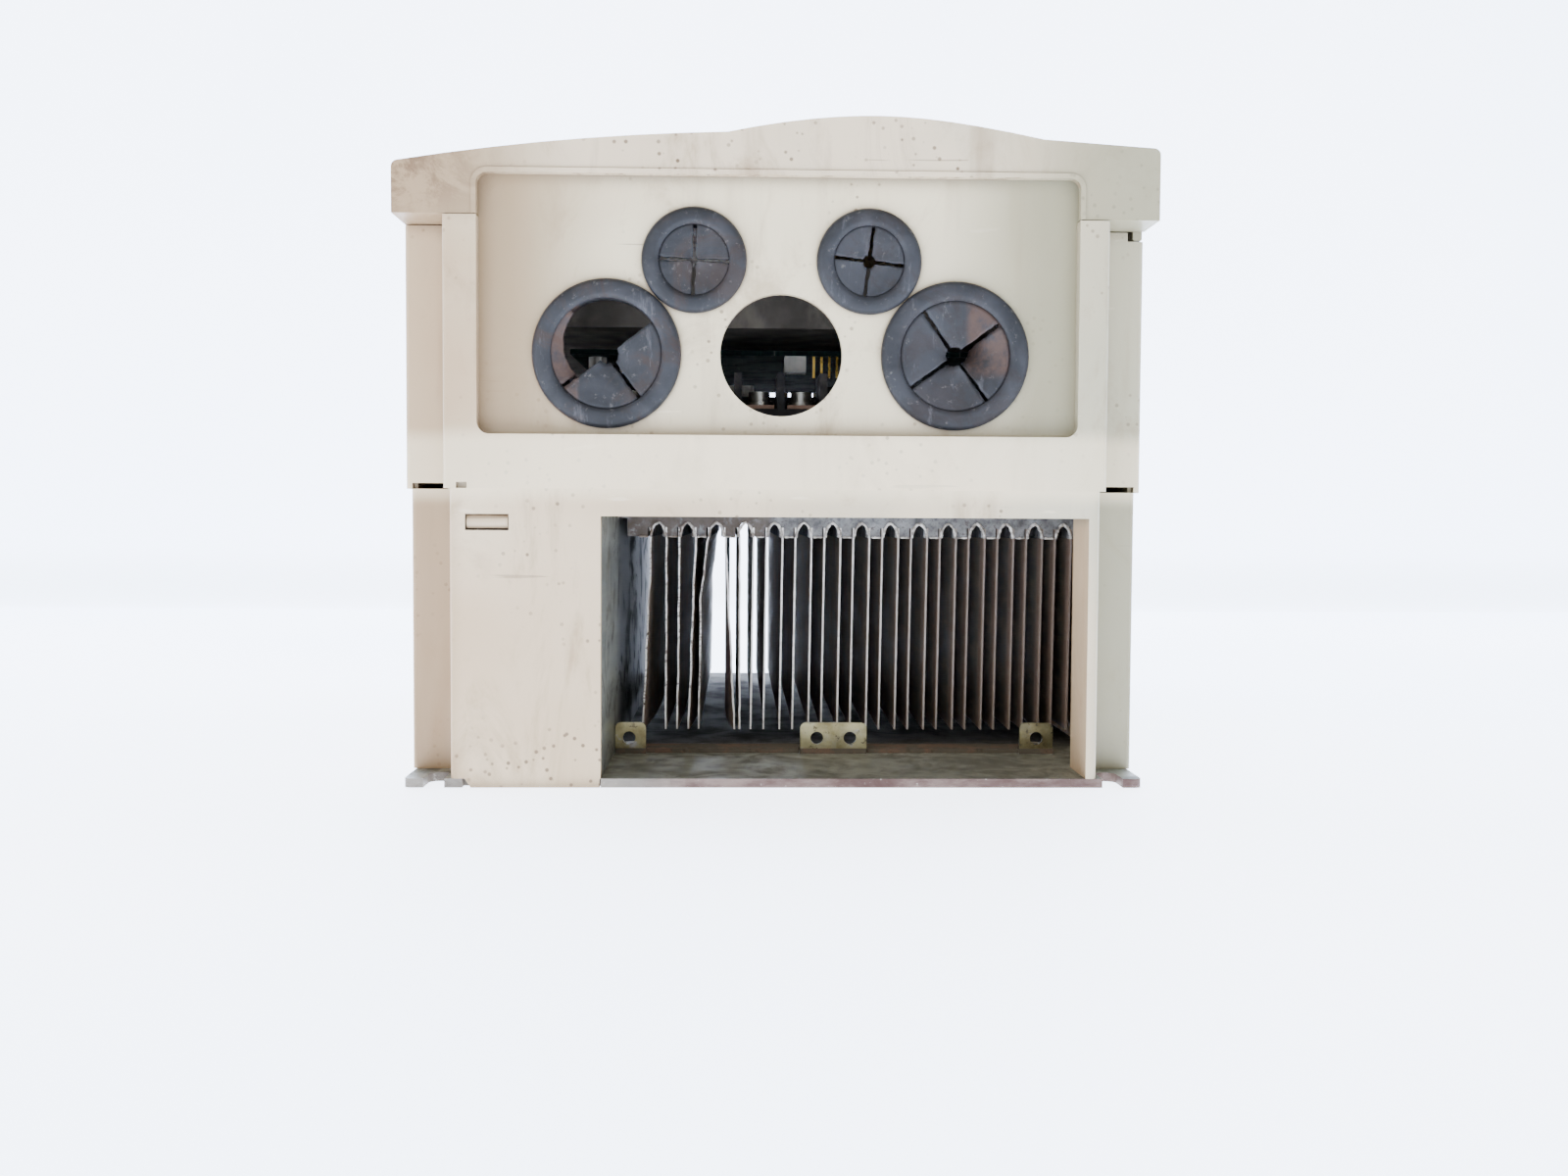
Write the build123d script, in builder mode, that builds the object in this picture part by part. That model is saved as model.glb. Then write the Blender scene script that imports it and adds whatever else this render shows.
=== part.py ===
"""Variable frequency motor drive, lying on its mounting plate.

X runs across the case, Y from the cable entry end to the air outlet end,
Z from the back of the mounting plate to the front cover.  Millimetres.
"""
import os

from build123d import *

os.makedirs("parts", exist_ok=True)

# ---------------------------------------------------------------- envelope
overall_width = 217.4
overall_length = 300.0
overall_depth = 190.9

# ---------------------------------------------------------------- fits
body_gap = 0.3
slide_gap = 0.3
running_gap = 0.1

# ---------------------------------------------------------------- mounting plate
plate_thickness = 2.6
plate_inset = 2.7
plate_corner = 2.0
mount_pitch_x = 195.0
mount_pitch_y = 284.0
mount_hole = 6.0
plate_notch_depth = 3.2

# ---------------------------------------------------------------- lower case
lower_case_top = 85.4
case_step = 1.6
case_wall = 3.0
side_wall_lower = 3.5
corner_recess_depth = 18.0
corner_recess_width = 14.2
face_step = 1.8
partition_face = -50.0
duct_ceiling_drop = 7.8
ceiling_skin = 3.0
tub_floor = 2.5
pillar_width = 3.1
snap_slot_left = -88.3
snap_slot_right = -76.0
snap_slot_low = 73.5
snap_slot_high = 78.1
seam_notch_left = -90.8
seam_notch_right = -87.8
finger_sheet = 2.0
boss_width = 9.0
case_screw_x = 70.0
case_screw_inset = 16.0
case_screw_diameter = 4.0

# ---------------------------------------------------------------- duct and fan tabs
duct_sheet = 1.2
fan_bay_depth = 69.0
fan_middle = 19.5
fan_pitch = 70.0
fan_hole_pitch = 59.5
tab_depth = 47.0
tab_sheet = 1.4
tab_height = 9.9
tab_foot = 10.5
tab_hole = 4.0
tab_hole_height = 5.0
tab_corner = 1.8
foot_gap = 0.3
tab_margin = 5.3
rivet_diameter = 3.0
rivet_head = 5.0

# ---------------------------------------------------------------- heat sink
fin_pair_pitch = 9.57
fin_spread = 2.66
fin_thickness = 1.0
fin_floor_gap = 4.7
fin_seat = 3.0
tooth_drop = 14.3
arch_height = 4.7
arch_radius = 1.7
base_top_drop = 1.0
first_arch = 7.15
tooth_margin = 2.6
left_tooth_room = 5.0

# ---------------------------------------------------------------- upper case
upper_wall = 3.0
post_width = 9.05
window_offset = 0.5
window_sill = 15.4
window_corner = 3.5
frame_depth = 11.0
cable_plate_recess = 5.0
cable_plate_thickness = 3.0
cable_plate_lap = 3.0
cable_plate_rise = 13.8
shelf_thickness = 3.0
vent_slot_width = 3.0
vent_slot_pitch = 9.0
vent_slot_height = 42.0
seam_slot_height = 1.7

# ---------------------------------------------------------------- cable bushings
entry_offset = 1.2
large_hole = 35.0
large_flange = large_hole + 7.5
large_membrane = large_hole - 3.4
large_entry_x = large_hole + 14.9
large_entry_height = large_flange / 2 + 17.35
small_hole = 24.0
small_flange = small_hole + 6.0
small_membrane = small_hole - 3.8
small_entry_x = 25.0
small_entry_height = large_entry_height + 26.7
bushing_front = 2.4
bushing_back = 2.0
bushing_lip = 2.4
membrane_thickness = 1.2
slit_width = 0.8
large_slit_turn = 37.0
small_slit_turn = -5.0

# ---------------------------------------------------------------- front cover
cover_height = 28.4
cover_skin = 2.5
cover_end_inset = 0.5
left_eave_drop = 14.0
left_crown_drop = 4.9
right_crown_drop = 6.0
right_eave_drop = 8.2
bulge_left = -14.3
bulge_peak = 31.0
bulge_right = 75.4
cover_corner = 2.0
cover_window_rise = 11.5
cover_window_corner = 3.0
bead_width = 1.4
cover_screw_inset = 10.7
cover_screw_y = 110.0
cover_screw_diameter = 4.4
cover_screw_head = 7.6
tongue_y = 90.0
tongue_reach = 5.5
latch_length = 16.7
latch_width = 2.7
latch_height = 6.9

# ---------------------------------------------------------------- operation panel
panel_x = 30.5
panel_y = 60.0
panel_width = 81.0
panel_height = 50.0
panel_drop = 2.4
panel_depth = 18.2
panel_wall = 2.0
panel_corner = 3.0
pocket_wall = 2.0
pocket_ledge = 3.0
display_u = -14.0
display_v = 12.5
display_width = 44.0
display_height = 15.0
dial_u = -20.0
dial_v = -10.5
dial_diameter = 22.0
dial_rise = 2.0
key_width = 11.0
key_height = 7.0
key_pitch_u = 13.5
key_pitch_v = 11.5
key_u = 4.5
key_v = -5.5
key_rise = 0.8
key_travel = 0.7
board_thickness = 1.6
switch_height = 3.5

# ---------------------------------------------------------------- power parts
module_height = 15.6
module_ear = 6.6
diode_width = 38.0
diode_length = 92.0
transistor_width = 86.0
transistor_length = 122.0
module_screw = 5.0
capacitor_diameter = 46.0
capacitor_length = 78.0
terminal_pitch = 13.2
terminal_count = 12
terminal_depth = 26.0
terminal_base = 10.2
partition_rise = 11.0
partition_thickness = 2.4
terminal_screw_head = 6.6
drive_board_rise = 28.8
tray_drop = 24.5
tray_thickness = 2.5
tray_skirt = 19.5
control_board_rise = 5.5

# ---------------------------------------------------------------- derived levels
half_x = overall_width / 2
half_y = overall_length / 2
near = -half_y
far = half_y
cover_bottom = overall_depth - cover_height
case_top = cover_bottom - body_gap
lower_x = half_x - case_step
upper_face = half_x - corner_recess_width
lower_face = upper_face - face_step
strip_near = near + corner_recess_depth
strip_far = far - corner_recess_depth
duct_ceiling = lower_case_top - duct_ceiling_drop
duct_right = lower_x - side_wall_lower
sink_near = near + fan_bay_depth
sink_far = strip_far - case_wall
sink_top = lower_case_top - base_top_drop
tooth_bottom = lower_case_top - tooth_drop
fin_bottom = plate_thickness + fin_floor_gap
fin_top = tooth_bottom + fin_seat
partition_back = partition_face - duct_sheet
tub_right = partition_back - case_wall
tub_left = -duct_right
tub_middle = (tub_left + tub_right) / 2
window_half = upper_face - post_width
window_left = window_offset - window_half
window_right = window_offset + window_half
window_bottom = lower_case_top + window_sill
plate_front = near + cable_plate_recess
plate_back = plate_front + cable_plate_thickness
cable_plate_bottom = window_bottom - cable_plate_lap
cable_plate_top = cover_bottom + cable_plate_rise
shelf_bottom = window_bottom - shelf_thickness
shelf_end = sink_near - 5.0
power_board_z = sink_top + module_height
power_board_near = shelf_end + 2.0
power_board_far = sink_far - 3.0
drive_board_z = power_board_z + board_thickness + drive_board_rise
tray_z = cover_bottom - tray_drop
control_board_z = tray_z + tray_thickness + control_board_rise
panel_face = overall_depth - panel_drop
panel_bottom = panel_face - panel_depth
panel_board_z = panel_face - panel_wall - 10.1
rivet_y = near + tab_depth + tab_sheet + 5.5
tab_rivet_x = fan_pitch / 2 + fan_hole_pitch / 2
quadrants = ((-1, -1), (1, -1), (-1, 1), (1, 1))


def block(x0, x1, y0, y1, z0, z1, mode=Mode.ADD):
    """Straight-sided block between three pairs of faces."""
    with Locations(((x0 + x1) / 2, (y0 + y1) / 2, (z0 + z1) / 2)):
        Box(x1 - x0, y1 - y0, z1 - z0, mode=mode)


def upright(x, y, z0, z1, radius, mode=Mode.ADD):
    """Round bar standing along Z."""
    with Locations((x, y, (z0 + z1) / 2)):
        Cylinder(radius, z1 - z0, mode=mode)


def crossbar(x, z, y0, y1, radius, mode=Mode.ADD):
    """Round bar lying along Y."""
    with Locations(Location((x, (y0 + y1) / 2, z), (90, 0, 0))):
        Cylinder(radius, y1 - y0, mode=mode)


def case_outline(half_side, half_face):
    """Case footprint with a recess at each corner for the mounting screws."""
    Rectangle(2 * half_side, overall_length)
    with Locations(*[(sx * half_side, sy * half_y) for sx, sy in quadrants]):
        Rectangle(2 * (half_side - half_face), 2 * corner_recess_depth, mode=Mode.SUBTRACT)


def crown(drop, side, floor):
    """Cross-section of the cover: sloping flanks and the raised middle."""
    peak = overall_depth - drop
    left_low = (-side, peak - left_eave_drop)
    left_high = (bulge_left, peak - left_crown_drop)
    right_high = (bulge_right, peak - right_crown_drop)
    right_low = (side, peak - right_eave_drop)
    left_mid = (-side * 0.5, peak - (left_eave_drop + left_crown_drop) / 2 + 2.3)
    rising = ((bulge_left + bulge_peak) / 2 - 6.0, peak - 1.9)
    falling = ((bulge_peak + bulge_right) / 2 + 8.0, peak - 3.3)
    Line((-side, floor), left_low)
    ThreePointArc(left_low, left_mid, left_high)
    Spline(left_high, rising, (bulge_peak, peak), falling, right_high)
    Line(right_high, right_low)
    Line(right_low, (side, floor))
    Line((side, floor), (-side, floor))


# ================================================================ chassis
with BuildPart() as mounting_plate:
    with BuildSketch():
        Rectangle(2 * (half_x - plate_inset), overall_length)
    extrude(amount=plate_thickness)
    fillet(mounting_plate.edges().filter_by(Axis.Z), plate_corner)
    with BuildSketch():
        for side in (-1, 1):
            slot_x = side * mount_pitch_x / 2
            with Locations((slot_x, -mount_pitch_y / 2)):
                Circle(mount_hole / 2)
            with Locations((slot_x, (near - mount_pitch_y / 2) / 2)):
                Rectangle(mount_hole, half_y - mount_pitch_y / 2)
            with Locations((slot_x, mount_pitch_y / 2)):
                Circle(mount_hole / 2)
    extrude(amount=plate_thickness, mode=Mode.SUBTRACT)
    block(-lower_face + 3.3, partition_face, near, near + plate_notch_depth,
          0, plate_thickness, Mode.SUBTRACT)
    for stake in (-1, 0, 1):
        block(partition_back, partition_face, stake * 90.0 - 6.0, stake * 90.0 + 6.0,
              0, plate_thickness, Mode.SUBTRACT)
    with BuildSketch():
        with Locations(*[(fan_middle + side * tab_rivet_x, rivet_y) for side in (-1, 0, 1)]):
            Circle(rivet_diameter / 2)
    extrude(amount=plate_thickness, mode=Mode.SUBTRACT)
mounting_plate.part.label = "mounting_plate"
export_step(mounting_plate.part, "parts/mounting_plate.step")

with BuildPart() as duct_side_wall:
    block(partition_back, partition_face, near + case_wall + 0.2, far - case_wall - 0.2,
          plate_thickness, duct_ceiling)
    for stake in (-1, 0, 1):
        block(partition_back, partition_face, stake * 90.0 - 6.0, stake * 90.0 + 6.0,
              0, plate_thickness)
duct_side_wall.part.label = "duct_side_wall"
export_step(duct_side_wall.part, "parts/duct_side_wall.step")

tab_front = near + tab_depth
tab_back = tab_front + tab_sheet
tab_top = plate_thickness + tab_height
hole_z = plate_thickness + tab_hole_height
left_hole = fan_middle - fan_pitch / 2 - fan_hole_pitch / 2
inner_left_hole = fan_middle - fan_pitch / 2 + fan_hole_pitch / 2
inner_right_hole = fan_middle + fan_pitch / 2 - fan_hole_pitch / 2
right_hole = fan_middle + fan_pitch / 2 + fan_hole_pitch / 2
middle_left = inner_left_hole - tab_margin
middle_right = inner_right_hole + tab_margin


def angle_tab(x0, x1, foot0, foot1, rivet_at, holes):
    """Angle tab riveted to the plate, its leaf facing the cable entry end."""
    block(x0, x1, tab_front, tab_back, plate_thickness, tab_top)
    block(foot0, foot1, tab_back, tab_back + tab_foot, plate_thickness,
          plate_thickness + tab_sheet)
    for hole_x in holes:
        crossbar(hole_x, hole_z, tab_front, tab_back, tab_hole / 2, Mode.SUBTRACT)
    upright(rivet_at, rivet_y, plate_thickness, plate_thickness + tab_sheet,
            rivet_diameter / 2, Mode.SUBTRACT)


with BuildPart() as fan_tab_left:
    angle_tab(left_hole - 4.4, left_hole + tab_margin, left_hole - 4.4, middle_left - foot_gap,
              fan_middle - tab_rivet_x, [left_hole])
    fillet(fan_tab_left.edges().filter_by(Axis.Y).group_by(Axis.Z)[-1], tab_corner)
fan_tab_left.part.label = "fan_tab_left"
export_step(fan_tab_left.part, "parts/fan_tab_left.step")

with BuildPart() as fan_tab_middle:
    angle_tab(middle_left, middle_right, middle_left, middle_right, fan_middle,
              [inner_left_hole, inner_right_hole])
    fillet(fan_tab_middle.edges().filter_by(Axis.Y).group_by(Axis.Z)[-1], tab_corner)
fan_tab_middle.part.label = "fan_tab_middle"
export_step(fan_tab_middle.part, "parts/fan_tab_middle.step")

with BuildPart() as fan_tab_right:
    angle_tab(right_hole - tab_margin, right_hole + tab_margin, middle_right + foot_gap,
              right_hole + tab_margin, fan_middle + tab_rivet_x, [right_hole])
    fillet(fan_tab_right.edges().filter_by(Axis.Y).group_by(Axis.Z)[-1], tab_corner)
fan_tab_right.part.label = "fan_tab_right"
export_step(fan_tab_right.part, "parts/fan_tab_right.step")

with BuildPart() as tab_rivets:
    for side in (-1, 0, 1):
        rivet_x = fan_middle + side * tab_rivet_x
        upright(rivet_x, rivet_y, 0.2, plate_thickness + tab_sheet, rivet_diameter / 2)
        upright(rivet_x, rivet_y, plate_thickness + tab_sheet,
                plate_thickness + tab_sheet + 1.2, rivet_head / 2)
tab_rivets.part.label = "tab_rivets"
export_step(tab_rivets.part, "parts/tab_rivets.step")

# ================================================================ lower case
with BuildPart() as lower_case:
    with BuildSketch(Plane.XY.offset(plate_thickness)):
        case_outline(lower_x, lower_face)
    extrude(amount=lower_case_top - plate_thickness)
    fillet(lower_case.edges().filter_by(Axis.Z), 1.2)
    # capacitor tub beside the duct
    tub_base = plate_thickness + tub_floor
    block(tub_left, tub_right, strip_near + case_wall, sink_far, tub_base, lower_case_top,
          Mode.SUBTRACT)
    block(-lower_face + case_wall, tub_right, near + case_wall, far - case_wall,
          tub_base, lower_case_top, Mode.SUBTRACT)
    # air duct: fan bay, heat sink bay and outlet
    pillar_x = lower_face - pillar_width
    block(partition_face, pillar_x, near, near + case_wall, plate_thickness, duct_ceiling,
          Mode.SUBTRACT)
    block(partition_back, pillar_x, near + case_wall, far - case_wall,
          plate_thickness, duct_ceiling, Mode.SUBTRACT)
    block(partition_face, pillar_x, far - case_wall, far, plate_thickness, duct_ceiling,
          Mode.SUBTRACT)
    block(partition_back, duct_right, strip_near + case_wall, sink_far,
          plate_thickness, duct_ceiling, Mode.SUBTRACT)
    block(partition_face, duct_right, sink_near, sink_far, plate_thickness, lower_case_top,
          Mode.SUBTRACT)
    # hollows above the two duct ceilings
    hollow_floor = duct_ceiling + ceiling_skin
    block(partition_face, pillar_x, near + case_wall, sink_near - case_wall,
          hollow_floor, lower_case_top, Mode.SUBTRACT)
    block(partition_face, pillar_x, sink_far + case_wall, far - case_wall,
          hollow_floor, lower_case_top, Mode.SUBTRACT)
    # bosses for the case screws
    for sx, sy in quadrants:
        boss_y = sy * (half_y - case_screw_inset)
        boss_low = tub_base + 60.0 if sx < 0 else duct_ceiling
        block(sx * case_screw_x - boss_width / 2, sx * case_screw_x + boss_width / 2,
              min(boss_y - sy * boss_width / 2, sy * (half_y - case_wall)),
              max(boss_y - sy * boss_width / 2, sy * (half_y - case_wall)),
              boss_low, lower_case_top)
        upright(sx * case_screw_x, boss_y, boss_low, lower_case_top,
                case_screw_diameter / 2, Mode.SUBTRACT)
    # slot for the snap finger of the upper case
    block(snap_slot_left, snap_slot_right, near, near + case_wall,
          snap_slot_low, snap_slot_high, Mode.SUBTRACT)
    # skirt that covers the edge of the plate beside the duct
    with BuildSketch(Plane.XZ.offset(half_y)):
        with BuildLine():
            Polyline((-lower_face + 4.0, plate_thickness), (-lower_face + 5.7, 0),
                     (partition_face - 0.3, 0), (partition_face - 0.3, plate_thickness),
                     close=True)
        make_face()
    extrude(amount=-case_wall)
    # rivet seat in the duct wall
    with Locations(Location((duct_right + 1.0, sink_near - 3.0, plate_thickness + 7.9),
                            (0, 90, 0))):
        Cylinder(1.2, 2.0, mode=Mode.SUBTRACT)
lower_case.part.label = "lower_case"
export_step(lower_case.part, "parts/lower_case.step")

with BuildPart() as duct_rivet:
    with Locations(Location((duct_right - 1.3, sink_near - 3.0, plate_thickness + 7.9),
                            (0, 90, 0))):
        Cylinder(2.4, 2.6)
    fillet(duct_rivet.edges().group_by(Axis.X)[0], 1.6)
    with Locations(Location((duct_right + 0.9, sink_near - 3.0, plate_thickness + 7.9),
                            (0, 90, 0))):
        Cylinder(1.2, 1.8)
duct_rivet.part.label = "duct_rivet"
export_step(duct_rivet.part, "parts/duct_rivet.step")

# ================================================================ heat sink
tooth_left = partition_face + tooth_margin
arch_count = int((duct_right - first_arch - tooth_left - left_tooth_room) / fin_pair_pitch) + 1
arches = [duct_right - first_arch - i * fin_pair_pitch for i in range(arch_count)]
fins = [x + side * fin_spread for x in arches for side in (-1, 1)]
modules = (
    (-24.0, 18.0, diode_width, diode_length),
    (52.0, 24.0, transistor_width, transistor_length),
)
module_holes = [
    (mx + side_x * (width / 2 - 9.0), my + side_y * (length / 2 - 6.0))
    for mx, my, width, length in modules for side_x, side_y in quadrants
]
standoffs = ((-42.0, sink_near + 8.0), (duct_right - 8.0, sink_near + 8.0),
             (-42.0, sink_far - 10.0), (duct_right - 8.0, sink_far - 10.0))

with BuildPart() as heatsink_base:
    block(partition_face, duct_right, sink_near, sink_far, duct_ceiling - 0.6, sink_top)
    block(tooth_left, duct_right, sink_near, sink_far, tooth_bottom, duct_ceiling)
    with BuildSketch(Plane.XZ.offset(-sink_near)):
        crest = tooth_bottom + arch_height - arch_radius
        with Locations(*[(x, (tooth_bottom + crest) / 2) for x in arches]):
            Rectangle(2 * arch_radius, crest - tooth_bottom)
        with Locations(*[(x, crest) for x in arches]):
            Circle(arch_radius)
        with Locations(*[(x, tooth_bottom + fin_seat / 2) for x in fins]):
            Rectangle(fin_thickness, fin_seat)
    extrude(amount=-(sink_far - sink_near), mode=Mode.SUBTRACT)
    for hole_x, hole_y in module_holes:
        upright(hole_x, hole_y, sink_top - 5.0, sink_top, module_screw / 2, Mode.SUBTRACT)
heatsink_base.part.label = "heatsink_base"
export_step(heatsink_base.part, "parts/heatsink_base.step")

with BuildPart() as heatsink_fins:
    for fin_x in fins:
        block(fin_x - fin_thickness / 2, fin_x + fin_thickness / 2, sink_near, sink_far,
              fin_bottom, fin_top)
heatsink_fins.part.label = "heatsink_fins"
export_step(heatsink_fins.part, "parts/heatsink_fins.step")

# ================================================================ upper case
latch_right = half_x - 0.5
latch_left = latch_right - latch_width
latch_near = strip_near + 0.3
latch_far = latch_near + latch_length
latch_low = case_top - 2.3
latch_top = latch_low + latch_height

with BuildPart() as upper_case:
    with BuildSketch(Plane.XY.offset(lower_case_top)):
        case_outline(half_x, upper_face)
    extrude(amount=case_top - lower_case_top)
    fillet(upper_case.edges().filter_by(Axis.Z), 1.2)
    block(-half_x + upper_wall, half_x - upper_wall, strip_near + upper_wall,
          strip_far - upper_wall, lower_case_top, case_top, Mode.SUBTRACT)
    block(-upper_face + upper_wall, upper_face - upper_wall, near + frame_depth,
          far - upper_wall, lower_case_top, case_top, Mode.SUBTRACT)
    # window in the cable entry end
    with BuildSketch(Plane.XZ.offset(half_y)):
        with Locations(((window_left + window_right) / 2, (window_bottom + case_top) / 2)):
            Rectangle(window_right - window_left, case_top - window_bottom)
        fillet(vertices().group_by(Axis.Y)[0], window_corner)
    extrude(amount=-frame_depth, mode=Mode.SUBTRACT)
    # channel that holds the cable plate
    block(window_left - cable_plate_lap, window_right + cable_plate_lap,
          plate_front, plate_back, cable_plate_bottom, case_top, Mode.SUBTRACT)
    # sill hollow and wiring shelf
    block(-upper_face + upper_wall, upper_face - upper_wall, near + upper_wall,
          near + frame_depth - upper_wall, lower_case_top, cable_plate_bottom - upper_wall,
          Mode.SUBTRACT)
    block(-upper_face + upper_wall, upper_face - upper_wall, near + frame_depth, shelf_end,
          shelf_bottom, window_bottom)
    # ledges for the case screws
    for sx, sy in quadrants:
        screw_x = sx * case_screw_x
        screw_y = sy * (half_y - case_screw_inset)
        edge = sy * (half_y - case_screw_inset - boss_width / 2)
        wall_y = sy * (half_y - (frame_depth if sy < 0 else upper_wall))
        block(screw_x - boss_width / 2, screw_x + boss_width / 2, min(edge, wall_y),
              max(edge, wall_y), lower_case_top, lower_case_top + 3.0)
        upright(screw_x, screw_y, lower_case_top, lower_case_top + 3.0,
                case_screw_diameter / 2, Mode.SUBTRACT)
    # tray ledges on the side walls
    for side in (-1, 1):
        for ledge_y in (-60.0, 60.0):
            block(min(side * (half_x - upper_wall), side * (half_x - upper_wall - 4.0)),
                  max(side * (half_x - upper_wall), side * (half_x - upper_wall - 4.0)),
                  ledge_y - 6.0, ledge_y + 6.0, tray_z - 3.0, tray_z)
    # ventilation slots in both sides and in the outlet end
    vent_low = shelf_bottom + 6.0
    vent_count = int((strip_far - strip_near - 50.0) / vent_slot_pitch)
    for side in (-1, 1):
        for i in range(vent_count):
            slot_y = (i - (vent_count - 1) / 2) * vent_slot_pitch + 2.0
            if abs(abs(slot_y) - 60.0) > 8.0:
                block(min(side * half_x, side * (half_x - upper_wall)),
                      max(side * half_x, side * (half_x - upper_wall)),
                      slot_y - vent_slot_width / 2, slot_y + vent_slot_width / 2,
                      vent_low, vent_low + vent_slot_height, Mode.SUBTRACT)
    end_count = int((2 * upper_face - 24.0) / vent_slot_pitch)
    for i in range(end_count):
        slot_x = (i - (end_count - 1) / 2) * vent_slot_pitch
        block(slot_x - vent_slot_width / 2, slot_x + vent_slot_width / 2,
              far - upper_wall, far, vent_low, vent_low + vent_slot_height, Mode.SUBTRACT)
    # drain slots at the seam, in the two corner strips of the cable entry end
    for side in (-1, 1):
        slot_in = side * (upper_face + 1.9)
        slot_out = side * (half_x - 1.9)
        block(min(slot_in, slot_out), max(slot_in, slot_out), strip_near,
              strip_near + upper_wall, lower_case_top, lower_case_top + seam_slot_height,
              Mode.SUBTRACT)
    # cut-out for the cover catch
    block(latch_left - 1.6, half_x, strip_near, latch_far + 0.3, latch_low - 0.3, case_top,
          Mode.SUBTRACT)
    # small notch beside the snap finger
    block(seam_notch_left, seam_notch_right, near, near + upper_wall - 1.0, lower_case_top,
          lower_case_top + seam_slot_height, Mode.SUBTRACT)
    # snap finger behind the wall of the lower case, its tongue in the slot
    finger_front = near + case_wall + 0.2
    finger_back = finger_front + finger_sheet
    block(snap_slot_left + 0.3, snap_slot_right - 0.3, finger_front, finger_back,
          snap_slot_low + 0.5, lower_case_top + 3.0)
    block(snap_slot_left + 0.3, snap_slot_right - 0.3, near + upper_wall - 0.5, finger_back,
          lower_case_top, lower_case_top + 3.0)
    with BuildSketch(Plane.YZ.offset(snap_slot_left + 0.3)):
        with BuildLine():
            tongue_y0 = near + 1.2
            tongue_top = snap_slot_high - 0.3
            Line((finger_front, tongue_top), (tongue_y0, tongue_top))
            ThreePointArc((tongue_y0, tongue_top), (tongue_y0 - 0.7, 76.0),
                          (tongue_y0, snap_slot_low + 0.5))
            Line((tongue_y0, snap_slot_low + 0.5), (finger_front, snap_slot_low + 0.5))
            Line((finger_front, snap_slot_low + 0.5), (finger_front, tongue_top))
        make_face()
    extrude(amount=snap_slot_right - snap_slot_left - 0.6)
    # earth screw holes in the shelf
    for side in (-1, 1):
        upright(side * (upper_face - 8.0), near + 20.0, shelf_bottom, window_bottom, 2.0,
                Mode.SUBTRACT)
upper_case.part.label = "upper_case"
export_step(upper_case.part, "parts/upper_case.step")

with BuildPart() as case_screws:
    for sx, sy in quadrants:
        screw_y = sy * (half_y - case_screw_inset)
        upright(sx * case_screw_x, screw_y, duct_ceiling + 1.0, lower_case_top + 3.0,
                case_screw_diameter / 2)
        upright(sx * case_screw_x, screw_y, lower_case_top + 3.0, lower_case_top + 5.6,
                case_screw_diameter * 0.9)
        upright(sx * case_screw_x, screw_y, lower_case_top + 4.2, lower_case_top + 5.6,
                1.2, Mode.SUBTRACT)
case_screws.part.label = "case_screws"
export_step(case_screws.part, "parts/case_screws.step")

with BuildPart() as earth_screws:
    for side in (-1, 1):
        earth_x = side * (upper_face - 8.0)
        upright(earth_x, near + 20.0, shelf_bottom, window_bottom, 2.0)
        upright(earth_x, near + 20.0, window_bottom, window_bottom + 1.0, 4.4)
        upright(earth_x, near + 20.0, window_bottom + 1.0, window_bottom + 4.2, 3.4)
        block(earth_x - 2.6, earth_x + 2.6, near + 19.6, near + 20.4,
              window_bottom + 3.0, window_bottom + 4.2, Mode.SUBTRACT)
earth_screws.part.label = "earth_screws"
export_step(earth_screws.part, "parts/earth_screws.step")

# ================================================================ cable entry
large_z = lower_case_top + large_entry_height
small_z = lower_case_top + small_entry_height

with BuildPart() as cable_plate:
    block(window_left - cable_plate_lap, window_right + cable_plate_lap,
          plate_front, plate_back, cable_plate_bottom, cable_plate_top)
    fillet(cable_plate.edges().filter_by(Axis.Y).group_by(Axis.Z)[-1], 3.0)
    for offset in (-large_entry_x, 0.0, large_entry_x):
        crossbar(entry_offset + offset, large_z, plate_front, plate_back, large_hole / 2,
                 Mode.SUBTRACT)
    for offset in (-small_entry_x, small_entry_x):
        crossbar(entry_offset + offset, small_z, plate_front, plate_back, small_hole / 2,
                 Mode.SUBTRACT)
cable_plate.part.label = "cable_plate"
export_step(cable_plate.part, "parts/cable_plate.step")


def bushing(x, z, hole, flange, membrane, pip, turn):
    """Rubber bushing snapped in the plate, its membrane slit crosswise."""
    crossbar(x, z, plate_front - bushing_front, plate_front, flange / 2)
    crossbar(x, z, plate_front, plate_back, hole / 2)
    crossbar(x, z, plate_back, plate_back + bushing_back, hole / 2 + bushing_lip)
    membrane_front = plate_front - bushing_front + 1.2
    membrane_back = membrane_front + membrane_thickness
    crossbar(x, z, plate_front - bushing_front, membrane_front, membrane / 2, Mode.SUBTRACT)
    crossbar(x, z, membrane_back, plate_back + bushing_back, membrane / 2, Mode.SUBTRACT)
    crossbar(x, z, membrane_front, membrane_back, pip, Mode.SUBTRACT)
    for quarter in (0.0, 90.0):
        middle = (membrane_front + membrane_back) / 2
        with Locations(Location((x, middle, z), (0, -turn - quarter, 0))):
            Box(membrane - 2.0, membrane_thickness, slit_width, mode=Mode.SUBTRACT)


with BuildPart() as grommet_large_left:
    bushing(entry_offset - large_entry_x, large_z, large_hole, large_flange, large_membrane,
            2.5, large_slit_turn)
grommet_large_left.part.label = "grommet_large_left"
export_step(grommet_large_left.part, "parts/grommet_large_left.step")

with BuildPart() as grommet_large_right:
    bushing(entry_offset + large_entry_x, large_z, large_hole, large_flange, large_membrane,
            2.5, large_slit_turn)
grommet_large_right.part.label = "grommet_large_right"
export_step(grommet_large_right.part, "parts/grommet_large_right.step")

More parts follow.
